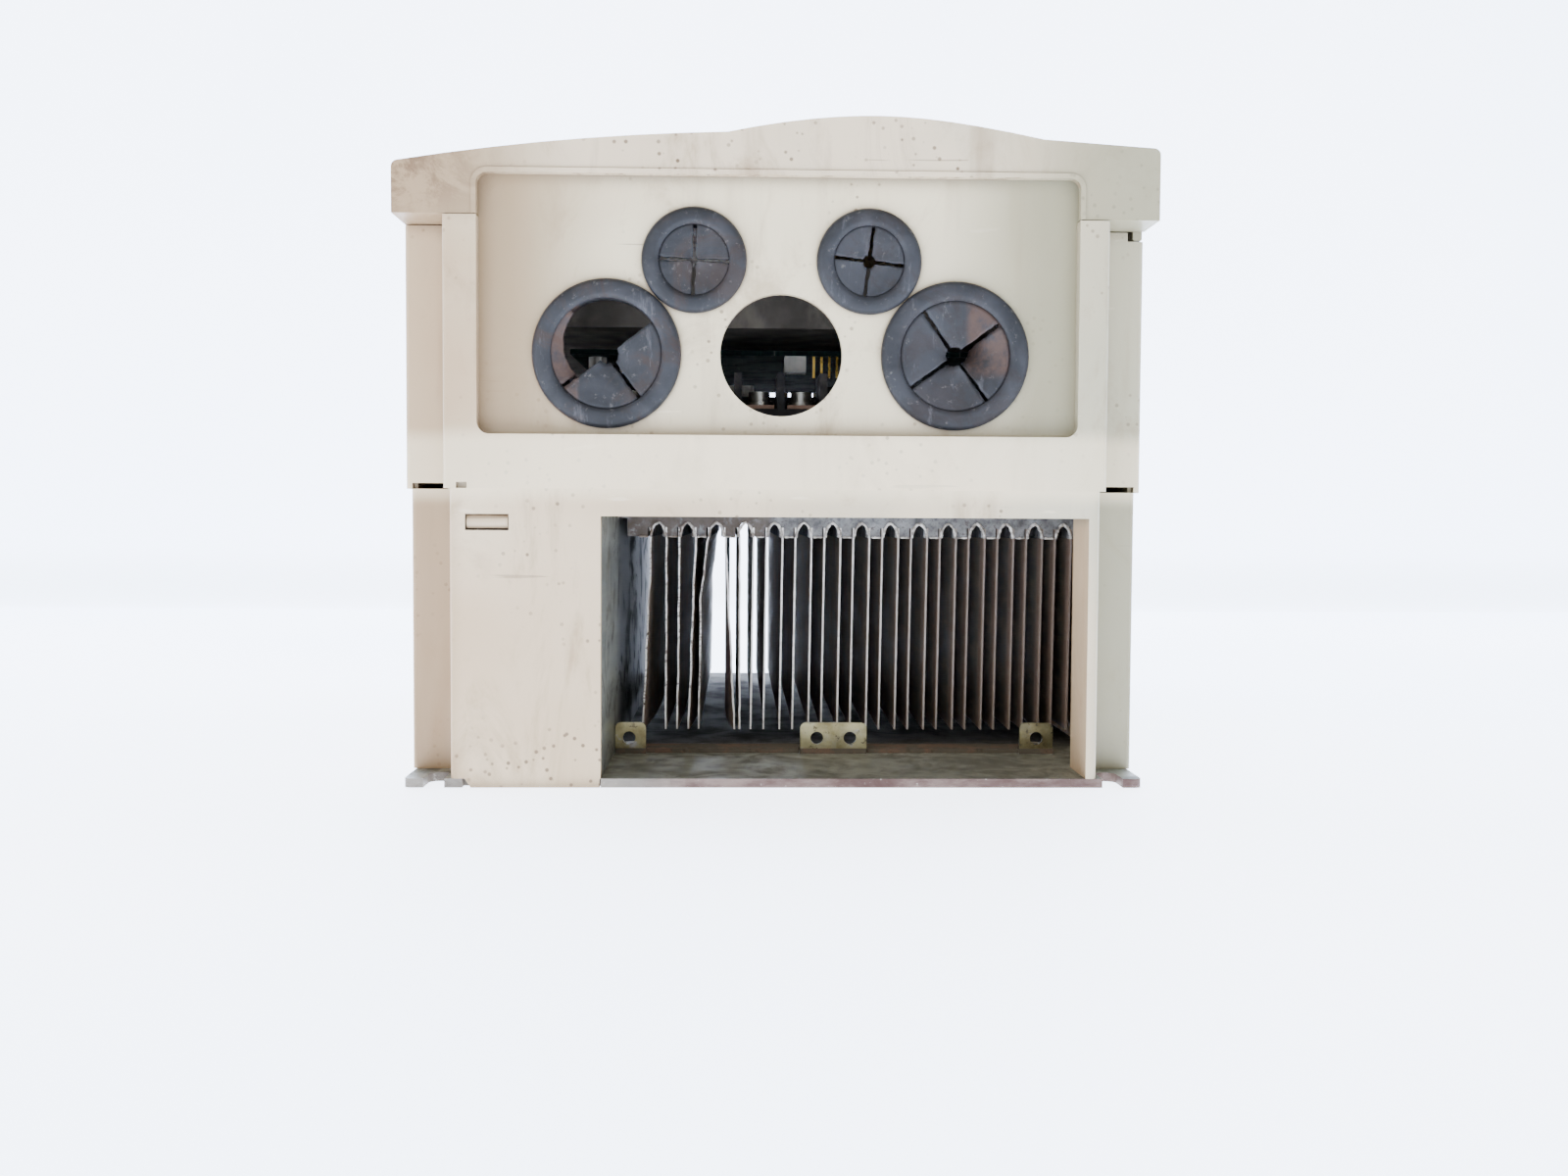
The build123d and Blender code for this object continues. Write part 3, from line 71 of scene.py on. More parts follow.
# ------------------------------------------------------------------ shader helpers
class Shader:
    """One material under construction."""

    def __init__(self, name, roughness=0.5, metallic=0.0, specular=0.5):
        self.mat = bpy.data.materials.new(name)
        self.mat.use_nodes = True
        self.tree = self.mat.node_tree
        self.tree.nodes.clear()
        self.out = self.tree.nodes.new("ShaderNodeOutputMaterial")
        self.bsdf = self.tree.nodes.new("ShaderNodeBsdfPrincipled")
        self.tree.links.new(self.bsdf.outputs[0], self.out.inputs[0])
        self.bsdf.inputs["Roughness"].default_value = roughness
        self.bsdf.inputs["Metallic"].default_value = metallic
        self.bsdf.inputs["Specular IOR Level"].default_value = specular
        self.coord = self.tree.nodes.new("ShaderNodeTexCoord").outputs["Object"]

    def link(self, a, b):
        self.tree.links.new(a, b)

    def feed(self, socket, value):
        if isinstance(value, bpy.types.NodeSocket):
            self.link(value, socket)
        elif isinstance(value, tuple) and len(value) == 3 and socket.type == "RGBA":
            socket.default_value = (*value, 1.0)
        else:
            socket.default_value = value

    def stretch(self, scale, turn=(0.0, 0.0, 0.0), shift=(0.0, 0.0, 0.0)):
        node = self.tree.nodes.new("ShaderNodeMapping")
        node.inputs["Scale"].default_value = scale
        node.inputs["Rotation"].default_value = turn
        node.inputs["Location"].default_value = shift
        self.link(self.coord, node.inputs["Vector"])
        return node.outputs[0]

    def noise(self, scale, detail=4.0, rough=0.55, at=None, distortion=0.0):
        node = self.tree.nodes.new("ShaderNodeTexNoise")
        node.inputs["Scale"].default_value = scale
        node.inputs["Detail"].default_value = detail
        node.inputs["Roughness"].default_value = rough
        node.inputs["Distortion"].default_value = distortion
        self.link(at or self.coord, node.inputs["Vector"])
        return node.outputs["Fac"]

    def cells(self, scale, at=None, feature="F1"):
        node = self.tree.nodes.new("ShaderNodeTexVoronoi")
        node.feature = feature
        node.inputs["Scale"].default_value = scale
        self.link(at or self.coord, node.inputs["Vector"])
        return node.outputs["Distance"]

    def ramp(self, value, low, high, start=0.0, end=1.0):
        node = self.tree.nodes.new("ShaderNodeMapRange")
        node.interpolation_type = "SMOOTHSTEP"
        node.inputs["From Min"].default_value = low
        node.inputs["From Max"].default_value = high
        node.inputs["To Min"].default_value = start
        node.inputs["To Max"].default_value = end
        self.link(value, node.inputs["Value"])
        return node.outputs["Result"]

    def math(self, kind, a, b=0.0):
        node = self.tree.nodes.new("ShaderNodeMath")
        node.operation = kind
        self.feed(node.inputs[0], a)
        self.feed(node.inputs[1], b)
        return node.outputs[0]

    def mix(self, factor, a, b, kind="MIX"):
        node = self.tree.nodes.new("ShaderNodeMix")
        node.data_type = "RGBA"
        node.blend_type = kind
        self.feed(node.inputs[0], factor)
        self.feed(node.inputs[6], a)
        self.feed(node.inputs[7], b)
        return node.outputs[2]

    def axis(self, name, of=None):
        node = self.tree.nodes.new("ShaderNodeSeparateXYZ")
        self.link(of or self.coord, node.inputs[0])
        return node.outputs[name]

    def normal(self):
        return self.tree.nodes.new("ShaderNodeNewGeometry").outputs["Normal"]

    def crevice(self, distance):
        node = self.tree.nodes.new("ShaderNodeAmbientOcclusion")
        node.samples = 6
        node.inputs["Distance"].default_value = distance
        return node.outputs["AO"]

    def bump(self, height, strength, distance):
        node = self.tree.nodes.new("ShaderNodeBump")
        node.inputs["Strength"].default_value = strength
        node.inputs["Distance"].default_value = distance
        self.link(height, node.inputs["Height"])
        if self.bsdf.inputs["Normal"].is_linked:
            self.link(self.bsdf.inputs["Normal"].links[0].from_socket, node.inputs["Normal"])
        self.link(node.outputs[0], self.bsdf.inputs["Normal"])

    def color(self, value):
        self.feed(self.bsdf.inputs["Base Color"], value)

    def rough(self, value):
        self.feed(self.bsdf.inputs["Roughness"], value)

    def metal(self, value):
        self.feed(self.bsdf.inputs["Metallic"], value)


def srgb(r, g, b):
    """Linear colour of a display colour given from 0 to 255."""
    def channel(v):
        v = v / 255.0
        return v / 12.92 if v <= 0.04045 else ((v + 0.055) / 1.055) ** 2.4
    return (channel(r), channel(g), channel(b))


# Shade that multiplies every plastic colour, so that the lamps bring it to its seen tone.
ALBEDO = (0.92, 0.83, 0.67)
CASE_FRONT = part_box("front_cover")[0][1]

# Where tints, wear, dirt and the painted light on the sill lie on the plastic. Each pair is the two
# sides of a soft edge, in metres.
TONE_DRIFT_X = (-0.115, 0.115)
EDGE_TONE_X = (0.086, 0.104)
SILL_TOP_Z = (0.104, 0.098)
SILL_FOOT_Z = (0.080, 0.086)
SOILED_X = (-0.108, -0.070)
SOILED_Z = (0.158, 0.172)
CREST_Z = (0.168, 0.174)
CREST_Y = (CASE_FRONT, CASE_FRONT + 0.02)
MOUTH_Z = (0.074, 0.080)

SMEAR_BROWN = srgb(140, 118, 94)
RUN_BROWN = srgb(128, 106, 84)
SCUFF_WHITE = srgb(240, 238, 230)
SCRATCH_GREY = srgb(112, 100, 90)
SPECK_BROWN = srgb(92, 72, 56)
CREVICE_DIRT_AND_SHADE = srgb(104, 88, 72)
END_SHADE_TAN = srgb(150, 130, 106)
END_SHADE_GREY = srgb(140, 142, 126)
SILL_PAINTED_LIGHT = srgb(250, 244, 226)
SOIL_BROWN = srgb(104, 82, 64)
CHIP_BROWN = srgb(118, 98, 80)
MOUTH_PINK = srgb(206, 182, 160)


def plastic_tone(s, base, tan, grey, drift):
    """Base colour that drifts from tan on the left to grey on the right, most at the sides."""
    across = s.ramp(s.axis("X"), *TONE_DRIFT_X)
    sides = s.mix(across, tan, grey)
    patch = s.noise(9.0, 3.0, 0.6, at=drift, distortion=0.6)
    colour = s.mix(s.ramp(patch, 0.36, 0.66), base, sides)
    edge = s.math("ABSOLUTE", s.axis("X"))
    return s.mix(s.ramp(edge, *EDGE_TONE_X, 0.0, 0.75), colour, sides)


def plastic_marks(s, colour, drift, seed, grime):
    """Adds smears, runs, scuffs, scratches and specks; also gives the smear and scratch masks."""
    smear = s.noise(34.0, 7.0, 0.68, at=s.stretch((1.0, 1.0, 0.55), shift=(seed, 2.0, seed)),
                    distortion=1.4)
    colour = s.mix(s.ramp(smear, 0.48, 0.72, 0.0, 0.50 * grime), colour, SMEAR_BROWN)
    run = s.noise(60.0, 5.0, 0.6, at=s.stretch((1.0, 1.0, 0.10), shift=(3.0, seed, 0.0)))
    colour = s.mix(s.ramp(run, 0.54, 0.74, 0.0, 0.45 * grime), colour, RUN_BROWN)
    scuff = s.noise(230.0, 4.0, 0.6, at=s.stretch((0.18, 1.0, 1.0), turn=(0.0, 0.35, 0.0)))
    colour = s.mix(s.ramp(scuff, 0.68, 0.73, 0.0, 0.40), colour, SCUFF_WHITE)
    scratch = s.noise(420.0, 2.0, 0.5, at=s.stretch((0.05, 1.0, 1.0), turn=(0.0, -0.5, 0.4)))
    line = s.ramp(scratch, 0.71, 0.74)
    colour = s.mix(s.math("MULTIPLY", line, 0.45), colour, SCRATCH_GREY)
    speck = s.ramp(s.cells(330.0, at=drift), 0.12, 0.24, 1.0, 0.0)
    cluster = s.ramp(s.noise(26.0, 3.0, 0.6, at=drift), 0.48, 0.62)
    spots = s.math("MULTIPLY", speck, cluster)
    colour = s.mix(s.math("MULTIPLY", spots, 0.8 * grime), colour, SPECK_BROWN)
    return colour, smear, line


def plastic_places(s, colour, drift, fade):
    """Adds what belongs to one place: crevice dirt with painted shade, painted shade at the ends,
    painted light on the sill, a dirty corner, the crest.
    """
    # crevice dirt and painted shade: crevices found by ambient occlusion are painted brown
    deep = s.ramp(s.crevice(0.006), 0.40, 0.92, 0.78, 0.0)
    colour = s.mix(deep, colour, CREVICE_DIRT_AND_SHADE)
    # painted shade: the outer ends of the faces are painted darker than the middle, as where the
    # posts shade the cable plate
    fade_start, fade_end, fade_strength = fade
    edge = s.math("ABSOLUTE", s.axis("X"))
    end_shade = s.ramp(edge, fade_start, fade_end, 0.0, fade_strength)
    across = s.ramp(s.axis("X"), *TONE_DRIFT_X)
    colour = s.mix(end_shade, colour, s.mix(across, END_SHADE_TAN, END_SHADE_GREY))
    # painted light: the front faces of the sill under the cable plate are painted paler, as where
    # light falls on them
    near_faces = s.ramp(s.axis("Y", s.normal()), -0.7, -0.3, 1.0, 0.0)
    sill = s.math("MULTIPLY", s.ramp(s.axis("Z"), *SILL_TOP_Z), s.ramp(s.axis("Z"), *SILL_FOOT_Z))
    sill = s.math("MULTIPLY", sill, near_faces)
    colour = s.mix(s.math("MULTIPLY", sill, 0.55), colour, SILL_PAINTED_LIGHT)
    # soiled upper left corner
    corner = s.math("MULTIPLY", s.ramp(s.axis("X"), *SOILED_X, 1.0, 0.0),
                    s.ramp(s.axis("Z"), *SOILED_Z))
    corner = s.math("MULTIPLY", corner, s.ramp(near_faces, 0.0, 1.0, 0.3, 1.0))
    rubbed = s.ramp(s.noise(70.0, 7.0, 0.75, at=drift, distortion=0.8), 0.40, 0.58, 0.0, 0.85)
    colour = s.mix(s.math("MULTIPLY", corner, rubbed), colour, SOIL_BROWN)
    # chipped and grimy line along the top, strongest at the near end
    crest = s.ramp(s.math("ABSOLUTE", s.axis("Z", s.normal())), 0.10, 0.35)
    crest = s.math("MULTIPLY", crest, s.ramp(s.axis("Z"), *CREST_Z))
    crest = s.math("MULTIPLY", crest, s.ramp(s.axis("Y"), *CREST_Y, 1.0, 0.3))
    chips = s.ramp(s.noise(130.0, 7.0, 0.75, at=drift), 0.50, 0.62, 0.0, 0.75)
    colour = s.mix(s.math("MULTIPLY", crest, chips), colour, CHIP_BROWN)
    # low faces turned to the left, such as the inside of the duct's mouth, are painted a pinkish
    # tan
    inward = s.ramp(s.axis("X", s.normal()), -0.9, -0.4, 1.0, 0.0)
    low = s.ramp(s.axis("Z"), *MOUTH_Z, 0.75, 0.0)
    return s.mix(s.math("MULTIPLY", inward, low), colour, MOUTH_PINK)


def aged_plastic(name, base, tan, grey, seed, fade, grime=1.0):
    """Moulded plastic gone unevenly yellow, with smears, specks, scuffs, crevice dirt with painted
    shade, painted shade at its ends and painted light on its sill.

    fade is where the painted shade at the ends begins, where it is full, and how strong it is.
    """
    s = Shader(name, roughness=0.46, specular=0.45)
    drift = s.stretch((1.0, 1.0, 1.0), shift=(seed, seed * 0.7, seed * 1.3))
    colour = plastic_tone(s, base, tan, grey, drift)
    colour, smear, line = plastic_marks(s, colour, drift, seed, grime)
    colour = plastic_places(s, colour, drift, fade)
    s.color(s.mix(1.0, colour, ALBEDO, "MULTIPLY"))
    s.rough(s.ramp(smear, 0.35, 0.75, 0.36, 0.62))
    s.bump(s.noise(1500.0, 3.0, 0.6), 0.10, 0.0002)
    s.bump(s.noise(120.0, 3.0, 0.5, at=drift), 0.10, 0.0006)
    s.bump(line, 0.15, 0.0001)
    return s.mat


TONE_SWING = 0.25


def plain(name, base, roughness=0.5, metallic=0.0, dust=0.25, specular=0.5):
    """Small part: uneven colour, patches of dust, painted shade in its corners, and fine grain."""
    s = Shader(name, roughness=roughness, metallic=metallic, specular=specular)
    dark = tuple(c * (1.0 - TONE_SWING) for c in base)
    light = tuple(min(1.0, c * (1.0 + TONE_SWING)) for c in base)
    colour = s.mix(s.ramp(s.noise(70.0, 4.0), 0.3, 0.7), dark, light)
    settle = s.ramp(s.noise(45.0, 6.0, 0.7, distortion=0.8), 0.46, 0.70, 0.0, dust)
    colour = s.mix(settle, colour, srgb(142, 132, 118))
    # painted shade: corners and crevices painted a darker copy of the base colour
    deep = s.ramp(s.crevice(0.003), 0.3, 0.8, 0.5, 0.0)
    colour = s.mix(deep, colour, tuple(c * 0.35 for c in base))
    s.color(colour)
    s.rough(s.ramp(s.noise(110.0, 5.0), 0.3, 0.7, max(roughness - 0.12, 0.05),
                   min(roughness + 0.15, 1.0)))
    s.bump(s.noise(900.0, 3.0), 0.12, 0.0002)
    return s.mat


# ------------------------------------------------------------------ materials
BEIGE = srgb(222, 211, 195)
TAN = srgb(204, 184, 162)
GREY = srgb(194, 196, 186)

case_mat = aged_plastic("case_plastic", BEIGE, TAN, GREY, 1.0, (0.088, 0.098, 0.80))
upper_mat = aged_plastic("upper_plastic", BEIGE, TAN, GREY, 4.2, (0.060, 0.100, 0.45))
cover_mat = aged_plastic("cover_plastic", srgb(218, 208, 194), srgb(200, 182, 164), GREY, 8.5,
                         (0.050, 0.092, 0.84), 1.2)
plate_mat = aged_plastic("entry_plastic", srgb(224, 219, 202), srgb(208, 198, 180),
                         srgb(204, 205, 192), 13.0, (0.040, 0.078, 0.92), 0.9)

# Where the metal and the rubber change, as soft edges in metres.
CUT_EDGE_CLEANER_X = (-0.045, -0.02)
PLATE_SHADE_Y = (-0.098, -0.078)
WALL_SHADE_Y = (-0.098, -0.074)
TAB_FOOT_Z = (0.0046, 0.0040)
TAB_FOOT_Y = (-0.1045, -0.1035)
FIN_MOUTH_Y = (-0.068, -0.078)
FIN_WORN_X = (-0.022, -0.012)
FIN_BROWN_X = (0.0, 0.070)
LIP_BROWN_X = (-0.030, 0.005)
BASE_BROWN_X = (-0.004, 0.004)
RUBBER_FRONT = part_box("grommet_large_left")[0][1]
RUBBER_BLOOM_X = (-0.06, 0.03)
RUBBER_SKIN_Y = (RUBBER_FRONT + 0.7 * MM, RUBBER_FRONT + 1.1 * MM)
TORN_FLAP_X = (-0.0560, -0.0575)
BENT_FLAP_X = (0.0535, 0.0560)
BENT_FLAP_Z = (0.117, 0.121)


def rusty_steel():
    """Galvanised sheet: green-grey spangle, grime, rust stains along its cut edges."""
    s = Shader("plate_steel", roughness=0.5, metallic=0.45)
    spangle = s.cells(140.0)
    colour = s.mix(s.ramp(spangle, 0.1, 0.7), srgb(112, 115, 105), srgb(140, 142, 132))
    # painted reflection: paler streaks across the top of the sheet stand in for reflected light
    streak = s.noise(70.0, 5.0, 0.6, at=s.stretch((0.25, 1.0, 1.0)), distortion=0.6)
    colour = s.mix(s.ramp(streak, 0.56, 0.74, 0.0, 0.6), colour, srgb(168, 170, 163))
    grime = s.noise(50.0, 7.0, 0.7, distortion=1.0)
    colour = s.mix(s.ramp(grime, 0.44, 0.64, 0.0, 0.6), colour, srgb(72, 69, 60))
    # the cut edge: plum-grey oxide broken by pale flecks
    cut = s.ramp(s.math("ABSOLUTE", s.axis("Z", s.normal())), 0.2, 0.7, 1.0, 0.0)
    oxide = s.mix(s.ramp(s.noise(160.0, 6.0, 0.7, at=s.stretch((0.35, 1.0, 1.0))), 0.38, 0.62),
                  srgb(78, 54, 50), srgb(118, 100, 93))
    oxide = s.mix(s.ramp(s.noise(520.0, 5.0, 0.7), 0.60, 0.70, 0.0, 0.8), oxide,
                  srgb(206, 198, 190))
    cleaner = s.ramp(s.axis("X"), *CUT_EDGE_CLEANER_X, 0.45, 0.95)
    colour = s.mix(s.math("MULTIPLY", cut, cleaner), colour, oxide)
    # small rust patches on the top face
    rust = s.noise(85.0, 8.0, 0.75, distortion=0.8)
    amount = s.ramp(rust, 0.66, 0.76, 0.0, 0.8)
    colour = s.mix(amount, colour, s.mix(s.noise(300.0, 5.0), srgb(110, 70, 54),
                                         srgb(146, 104, 80)))
    # dust and shade that deepen along the duct
    inside = s.ramp(s.axis("Y"), *PLATE_SHADE_Y, 0.0, 0.9)
    colour = s.mix(inside, colour, srgb(34, 31, 29))
    s.color(colour)
    s.metal(s.ramp(inside, 0.0, 0.9, 0.35, 0.0))
    s.rough(s.math("ADD", s.ramp(grime, 0.40, 0.66, 0.42, 0.72),
                   s.math("MULTIPLY", inside, 0.25)))
    s.bump(s.noise(700.0, 5.0), 0.2, 0.0003)
    s.bump(amount, 0.3, 0.0002)
    return s.mat


def yellow_zinc():
    """Yellow passivated zinc, iridescent in places and dulled by white bloom."""
    s = Shader("zinc_steel", roughness=0.38, metallic=0.85)
    tint = s.mix(s.ramp(s.noise(130.0, 4.0), 0.3, 0.7), srgb(100, 90, 58), srgb(150, 142, 106))
    tint = s.mix(s.ramp(s.noise(260.0, 3.0), 0.6, 0.75, 0.0, 0.4), tint, srgb(150, 150, 170))
    bloom = s.ramp(s.noise(95.0, 7.0, 0.7), 0.5, 0.7, 0.0, 0.6)
    tint = s.mix(bloom, tint, srgb(160, 156, 134))
    # painted shadow: the foot of each tab behind its front edge is painted dark brown, matte and
    # not metallic, as the shadow line under the strip
    foot = s.ramp(s.axis("Z"), *TAB_FOOT_Z)
    foot_shadow_brown = s.mix(s.ramp(s.noise(90.0, 6.0, 0.7), 0.45, 0.6), srgb(78, 72, 60), srgb(94, 76, 62))
    foot_shadow = s.math("MULTIPLY", foot, s.ramp(s.axis("Y"), *TAB_FOOT_Y))
    tint = s.mix(foot_shadow, tint, foot_shadow_brown)
    speck = s.ramp(s.noise(420.0, 5.0, 0.7), 0.58, 0.66, 0.0, 0.85)
    tint = s.mix(speck, tint, srgb(64, 54, 38))
    s.color(tint)
    s.metal(s.ramp(foot_shadow, 0.0, 1.0, 0.85, 0.0))
    s.rough(s.math("MAXIMUM", s.ramp(bloom, 0.0, 0.6, 0.3, 0.7),
                   s.ramp(foot_shadow, 0.0, 1.0, 0.0, 0.95)))
    s.bump(s.noise(1200.0, 4.0), 0.15, 0.0002)
    return s.mat


def sheet_wall():
    """Dull zinc sheet of the duct wall, streaked along the air flow."""
    s = Shader("duct_steel", roughness=0.5, metallic=0.3)
    streak = s.noise(60.0, 6.0, 0.65, at=s.stretch((1.0, 0.08, 1.0)))
    colour = s.mix(s.ramp(streak, 0.35, 0.68), srgb(96, 100, 93), srgb(136, 140, 132))
    grime = s.ramp(s.noise(38.0, 7.0, 0.7, distortion=1.2), 0.46, 0.66, 0.0, 0.7)
    colour = s.mix(grime, colour, srgb(88, 84, 76))
    rust = s.ramp(s.noise(120.0, 8.0, 0.75), 0.64, 0.74, 0.0, 0.8)
    colour = s.mix(rust, colour, srgb(132, 84, 56))
    # painted shade that deepens into the duct
    inside = s.ramp(s.axis("Y"), *WALL_SHADE_Y, 0.0, 0.88)
    s.color(s.mix(inside, colour, srgb(44, 42, 42)))
    s.metal(s.ramp(inside, 0.0, 0.88, 0.3, 0.0))
    s.rough(s.ramp(grime, 0.0, 0.7, 0.42, 0.8))
    s.bump(s.noise(500.0, 5.0), 0.2, 0.0003)
    return s.mat


def fin_metal():
    """Aluminium fins: front edges painted bright, partly worn metal and partly painted light; faces
    painted darker brown-grey, partly painted shade, with dust.
    """
    s = Shader("fin_aluminium", roughness=0.5, metallic=0.25)
    # painted light and shade: faces turned to the front are painted bright, faces turned sideways
    # darker
    facing = s.ramp(s.math("ABSOLUTE", s.axis("Y", s.normal())), 0.45, 0.8)
    grain = s.noise(160.0, 6.0, 0.7, at=s.stretch((1.0, 0.15, 1.0)))
    faces = s.mix(s.ramp(grain, 0.3, 0.7), srgb(128, 120, 112), srgb(178, 168, 156))
    dust = s.ramp(s.noise(55.0, 7.0, 0.7, distortion=1.0), 0.45, 0.68, 0.0, 0.6)
    faces = s.mix(dust, faces, srgb(152, 130, 112))
    mouth = s.ramp(s.axis("Y"), *FIN_MOUTH_Y, 0.0, 0.9)
    faces = s.mix(mouth, faces, srgb(150, 128, 112))
    fronts = s.mix(s.ramp(s.noise(120.0, 4.0), 0.35, 0.65), srgb(214, 208, 200),
                   srgb(246, 242, 236))
    fleck = s.ramp(s.noise(700.0, 5.0, 0.75), 0.50, 0.60, 0.0, 0.9)
    patchy = s.ramp(s.noise(60.0, 4.0, 0.6), 0.42, 0.54)
    first = s.ramp(s.axis("X"), *FIN_WORN_X, 1.0, 0.35)
    worn = s.math("MULTIPLY", s.math("MULTIPLY", fleck, patchy), first)
    fronts = s.mix(worn, fronts, srgb(84, 66, 54))
    right = s.ramp(s.axis("X"), *FIN_BROWN_X, 0.0, 0.88)
    fronts = s.mix(right, fronts, srgb(96, 78, 66))
    s.color(s.mix(facing, faces, fronts))
    s.rough(s.ramp(grain, 0.3, 0.7, 0.38, 0.62))
    s.bump(s.noise(900.0, 5.0), 0.08, 0.0002)
    return s.mat


def lip_metal():
    """Torn edges of the caulked base, browner on the left."""
    s = Shader("lip_aluminium", roughness=0.45, metallic=0.3)
    tone = s.mix(s.ramp(s.noise(520.0, 5.0, 0.7), 0.36, 0.64), srgb(128, 122, 114),
                 srgb(232, 228, 220))
    brown = s.ramp(s.noise(150.0, 6.0, 0.7), 0.42, 0.58, 0.0, 0.85)
    left = s.ramp(s.axis("X"), *LIP_BROWN_X, 1.0, 0.15)
    s.color(s.mix(s.math("MULTIPLY", brown, left), tone, srgb(104, 86, 70)))
    s.rough(s.ramp(s.noise(300.0, 5.0), 0.3, 0.7, 0.3, 0.6))
    s.bump(s.noise(900.0, 5.0), 0.3, 0.0003)
    return s.mat


def base_metal():
    """Extruded base: blue-grey and mottled, stained brown towards the left."""
    s = Shader("base_aluminium", roughness=0.5, metallic=0.2)
    tone = s.mix(s.ramp(s.noise(260.0, 6.0, 0.7), 0.34, 0.66), srgb(72, 73, 73),
                 srgb(138, 139, 139))
    fleck = s.ramp(s.noise(520.0, 6.0, 0.75), 0.54, 0.64, 0.0, 0.8)
    tone = s.mix(fleck, tone, srgb(58, 50, 44))
    left = s.ramp(s.axis("X"), *BASE_BROWN_X, 1.0, 0.22)
    brown = s.ramp(s.noise(120.0, 7.0, 0.7, distortion=0.8), 0.36, 0.52, 0.0, 0.85)
    tone = s.mix(s.math("MULTIPLY", brown, left), tone, srgb(74, 62, 50))
    s.color(tone)
    s.rough(s.ramp(s.noise(240.0, 5.0), 0.3, 0.7, 0.42, 0.75))
    s.bump(s.noise(800.0, 6.0, 0.7), 0.35, 0.0004)
    return s.mat


def rubber_mat():
    """Aged slate rubber with brown bloom, scuffs and chalky dust along its edges."""
    s = Shader("rubber", roughness=0.7, specular=0.25)
    tone = s.mix(s.ramp(s.noise(60.0, 5.0, distortion=0.7), 0.32, 0.68), srgb(30, 31, 34),
                 srgb(46, 47, 51))
    brown = s.ramp(s.noise(46.0, 6.0, 0.7, distortion=1.0), 0.50, 0.66, 0.0, 0.6)
    left = s.ramp(s.axis("X"), *RUBBER_BLOOM_X, 1.0, 0.35)
    tone = s.mix(s.math("MULTIPLY", brown, left), tone, srgb(62, 50, 43))
    scuff = s.noise(240.0, 5.0, 0.7, at=s.stretch((1.0, 1.0, 0.22), turn=(0.0, 0.5, 0.0)))
    tone = s.mix(s.ramp(scuff, 0.58, 0.72, 0.0, 0.35), tone, srgb(98, 98, 103))
    chalk = s.ramp(s.noise(420.0, 6.0, 0.75), 0.58, 0.70, 0.0, 0.34)
    tone = s.mix(chalk, tone, srgb(112, 108, 105))
    # two flaps of the large bushings are rubbed brown
    skin = s.ramp(s.axis("Y"), *RUBBER_SKIN_Y)
    torn = s.ramp(s.axis("X"), *TORN_FLAP_X)
    bent = s.math("MULTIPLY", s.ramp(s.axis("X"), *BENT_FLAP_X),
                  s.ramp(s.axis("Z"), *BENT_FLAP_Z))
    rubbed = s.math("MULTIPLY", s.math("MAXIMUM", torn, bent), skin)
    rubbed = s.math("MULTIPLY", rubbed, s.ramp(s.noise(160.0, 6.0, 0.7), 0.34, 0.60, 0.1, 0.9))
    tone = s.mix(rubbed, tone, srgb(70, 54, 47))
    # painted shade: crevices painted near black
    deep = s.ramp(s.crevice(0.002), 0.3, 0.8, 0.7, 0.0)
    tone = s.mix(deep, tone, srgb(22, 22, 24))
    s.color(tone)
    s.rough(s.ramp(brown, 0.0, 0.6, 0.55, 0.8))
    s.bump(s.noise(900.0, 4.0), 0.2, 0.0002)
    s.bump(s.noise(150.0, 4.0), 0.18, 0.0006)
    return s.mat


def board_mat(name, seed):
    """Solder-masked board with faint tracks and pads."""
    s = Shader(name, roughness=0.8, specular=0.06)
    # painted shade: the board and its dusty patches are painted very dark, standing in for the
    # shade inside the housing
    field = s.mix(s.ramp(s.noise(40.0, 3.0), 0.3, 0.7), srgb(10, 22, 22), srgb(16, 32, 30))
    tracks = s.ramp(s.cells(210.0, at=s.stretch((1.0, 1.0, 0.0), shift=(seed, 0, 0)),
                            feature="DISTANCE_TO_EDGE"), 0.02, 0.05, 1.0, 0.0)
    field = s.mix(s.math("MULTIPLY", tracks, 0.5), field, srgb(22, 44, 38))
    pads = s.ramp(s.cells(300.0, at=s.stretch((1.0, 1.0, 0.0), shift=(0, seed, 0))),
                  0.10, 0.14, 1.0, 0.0)
    field = s.mix(s.math("MULTIPLY", pads, 0.6), field, srgb(96, 94, 86))
    dust = s.ramp(s.noise(60.0, 6.0, 0.7), 0.45, 0.7, 0.0, 0.55)
    s.color(s.mix(dust, field, srgb(30, 29, 27)))
    s.rough(s.ramp(dust, 0.0, 0.5, 0.7, 0.95))
    s.bump(tracks, 0.2, 0.0001)
    return s.mat


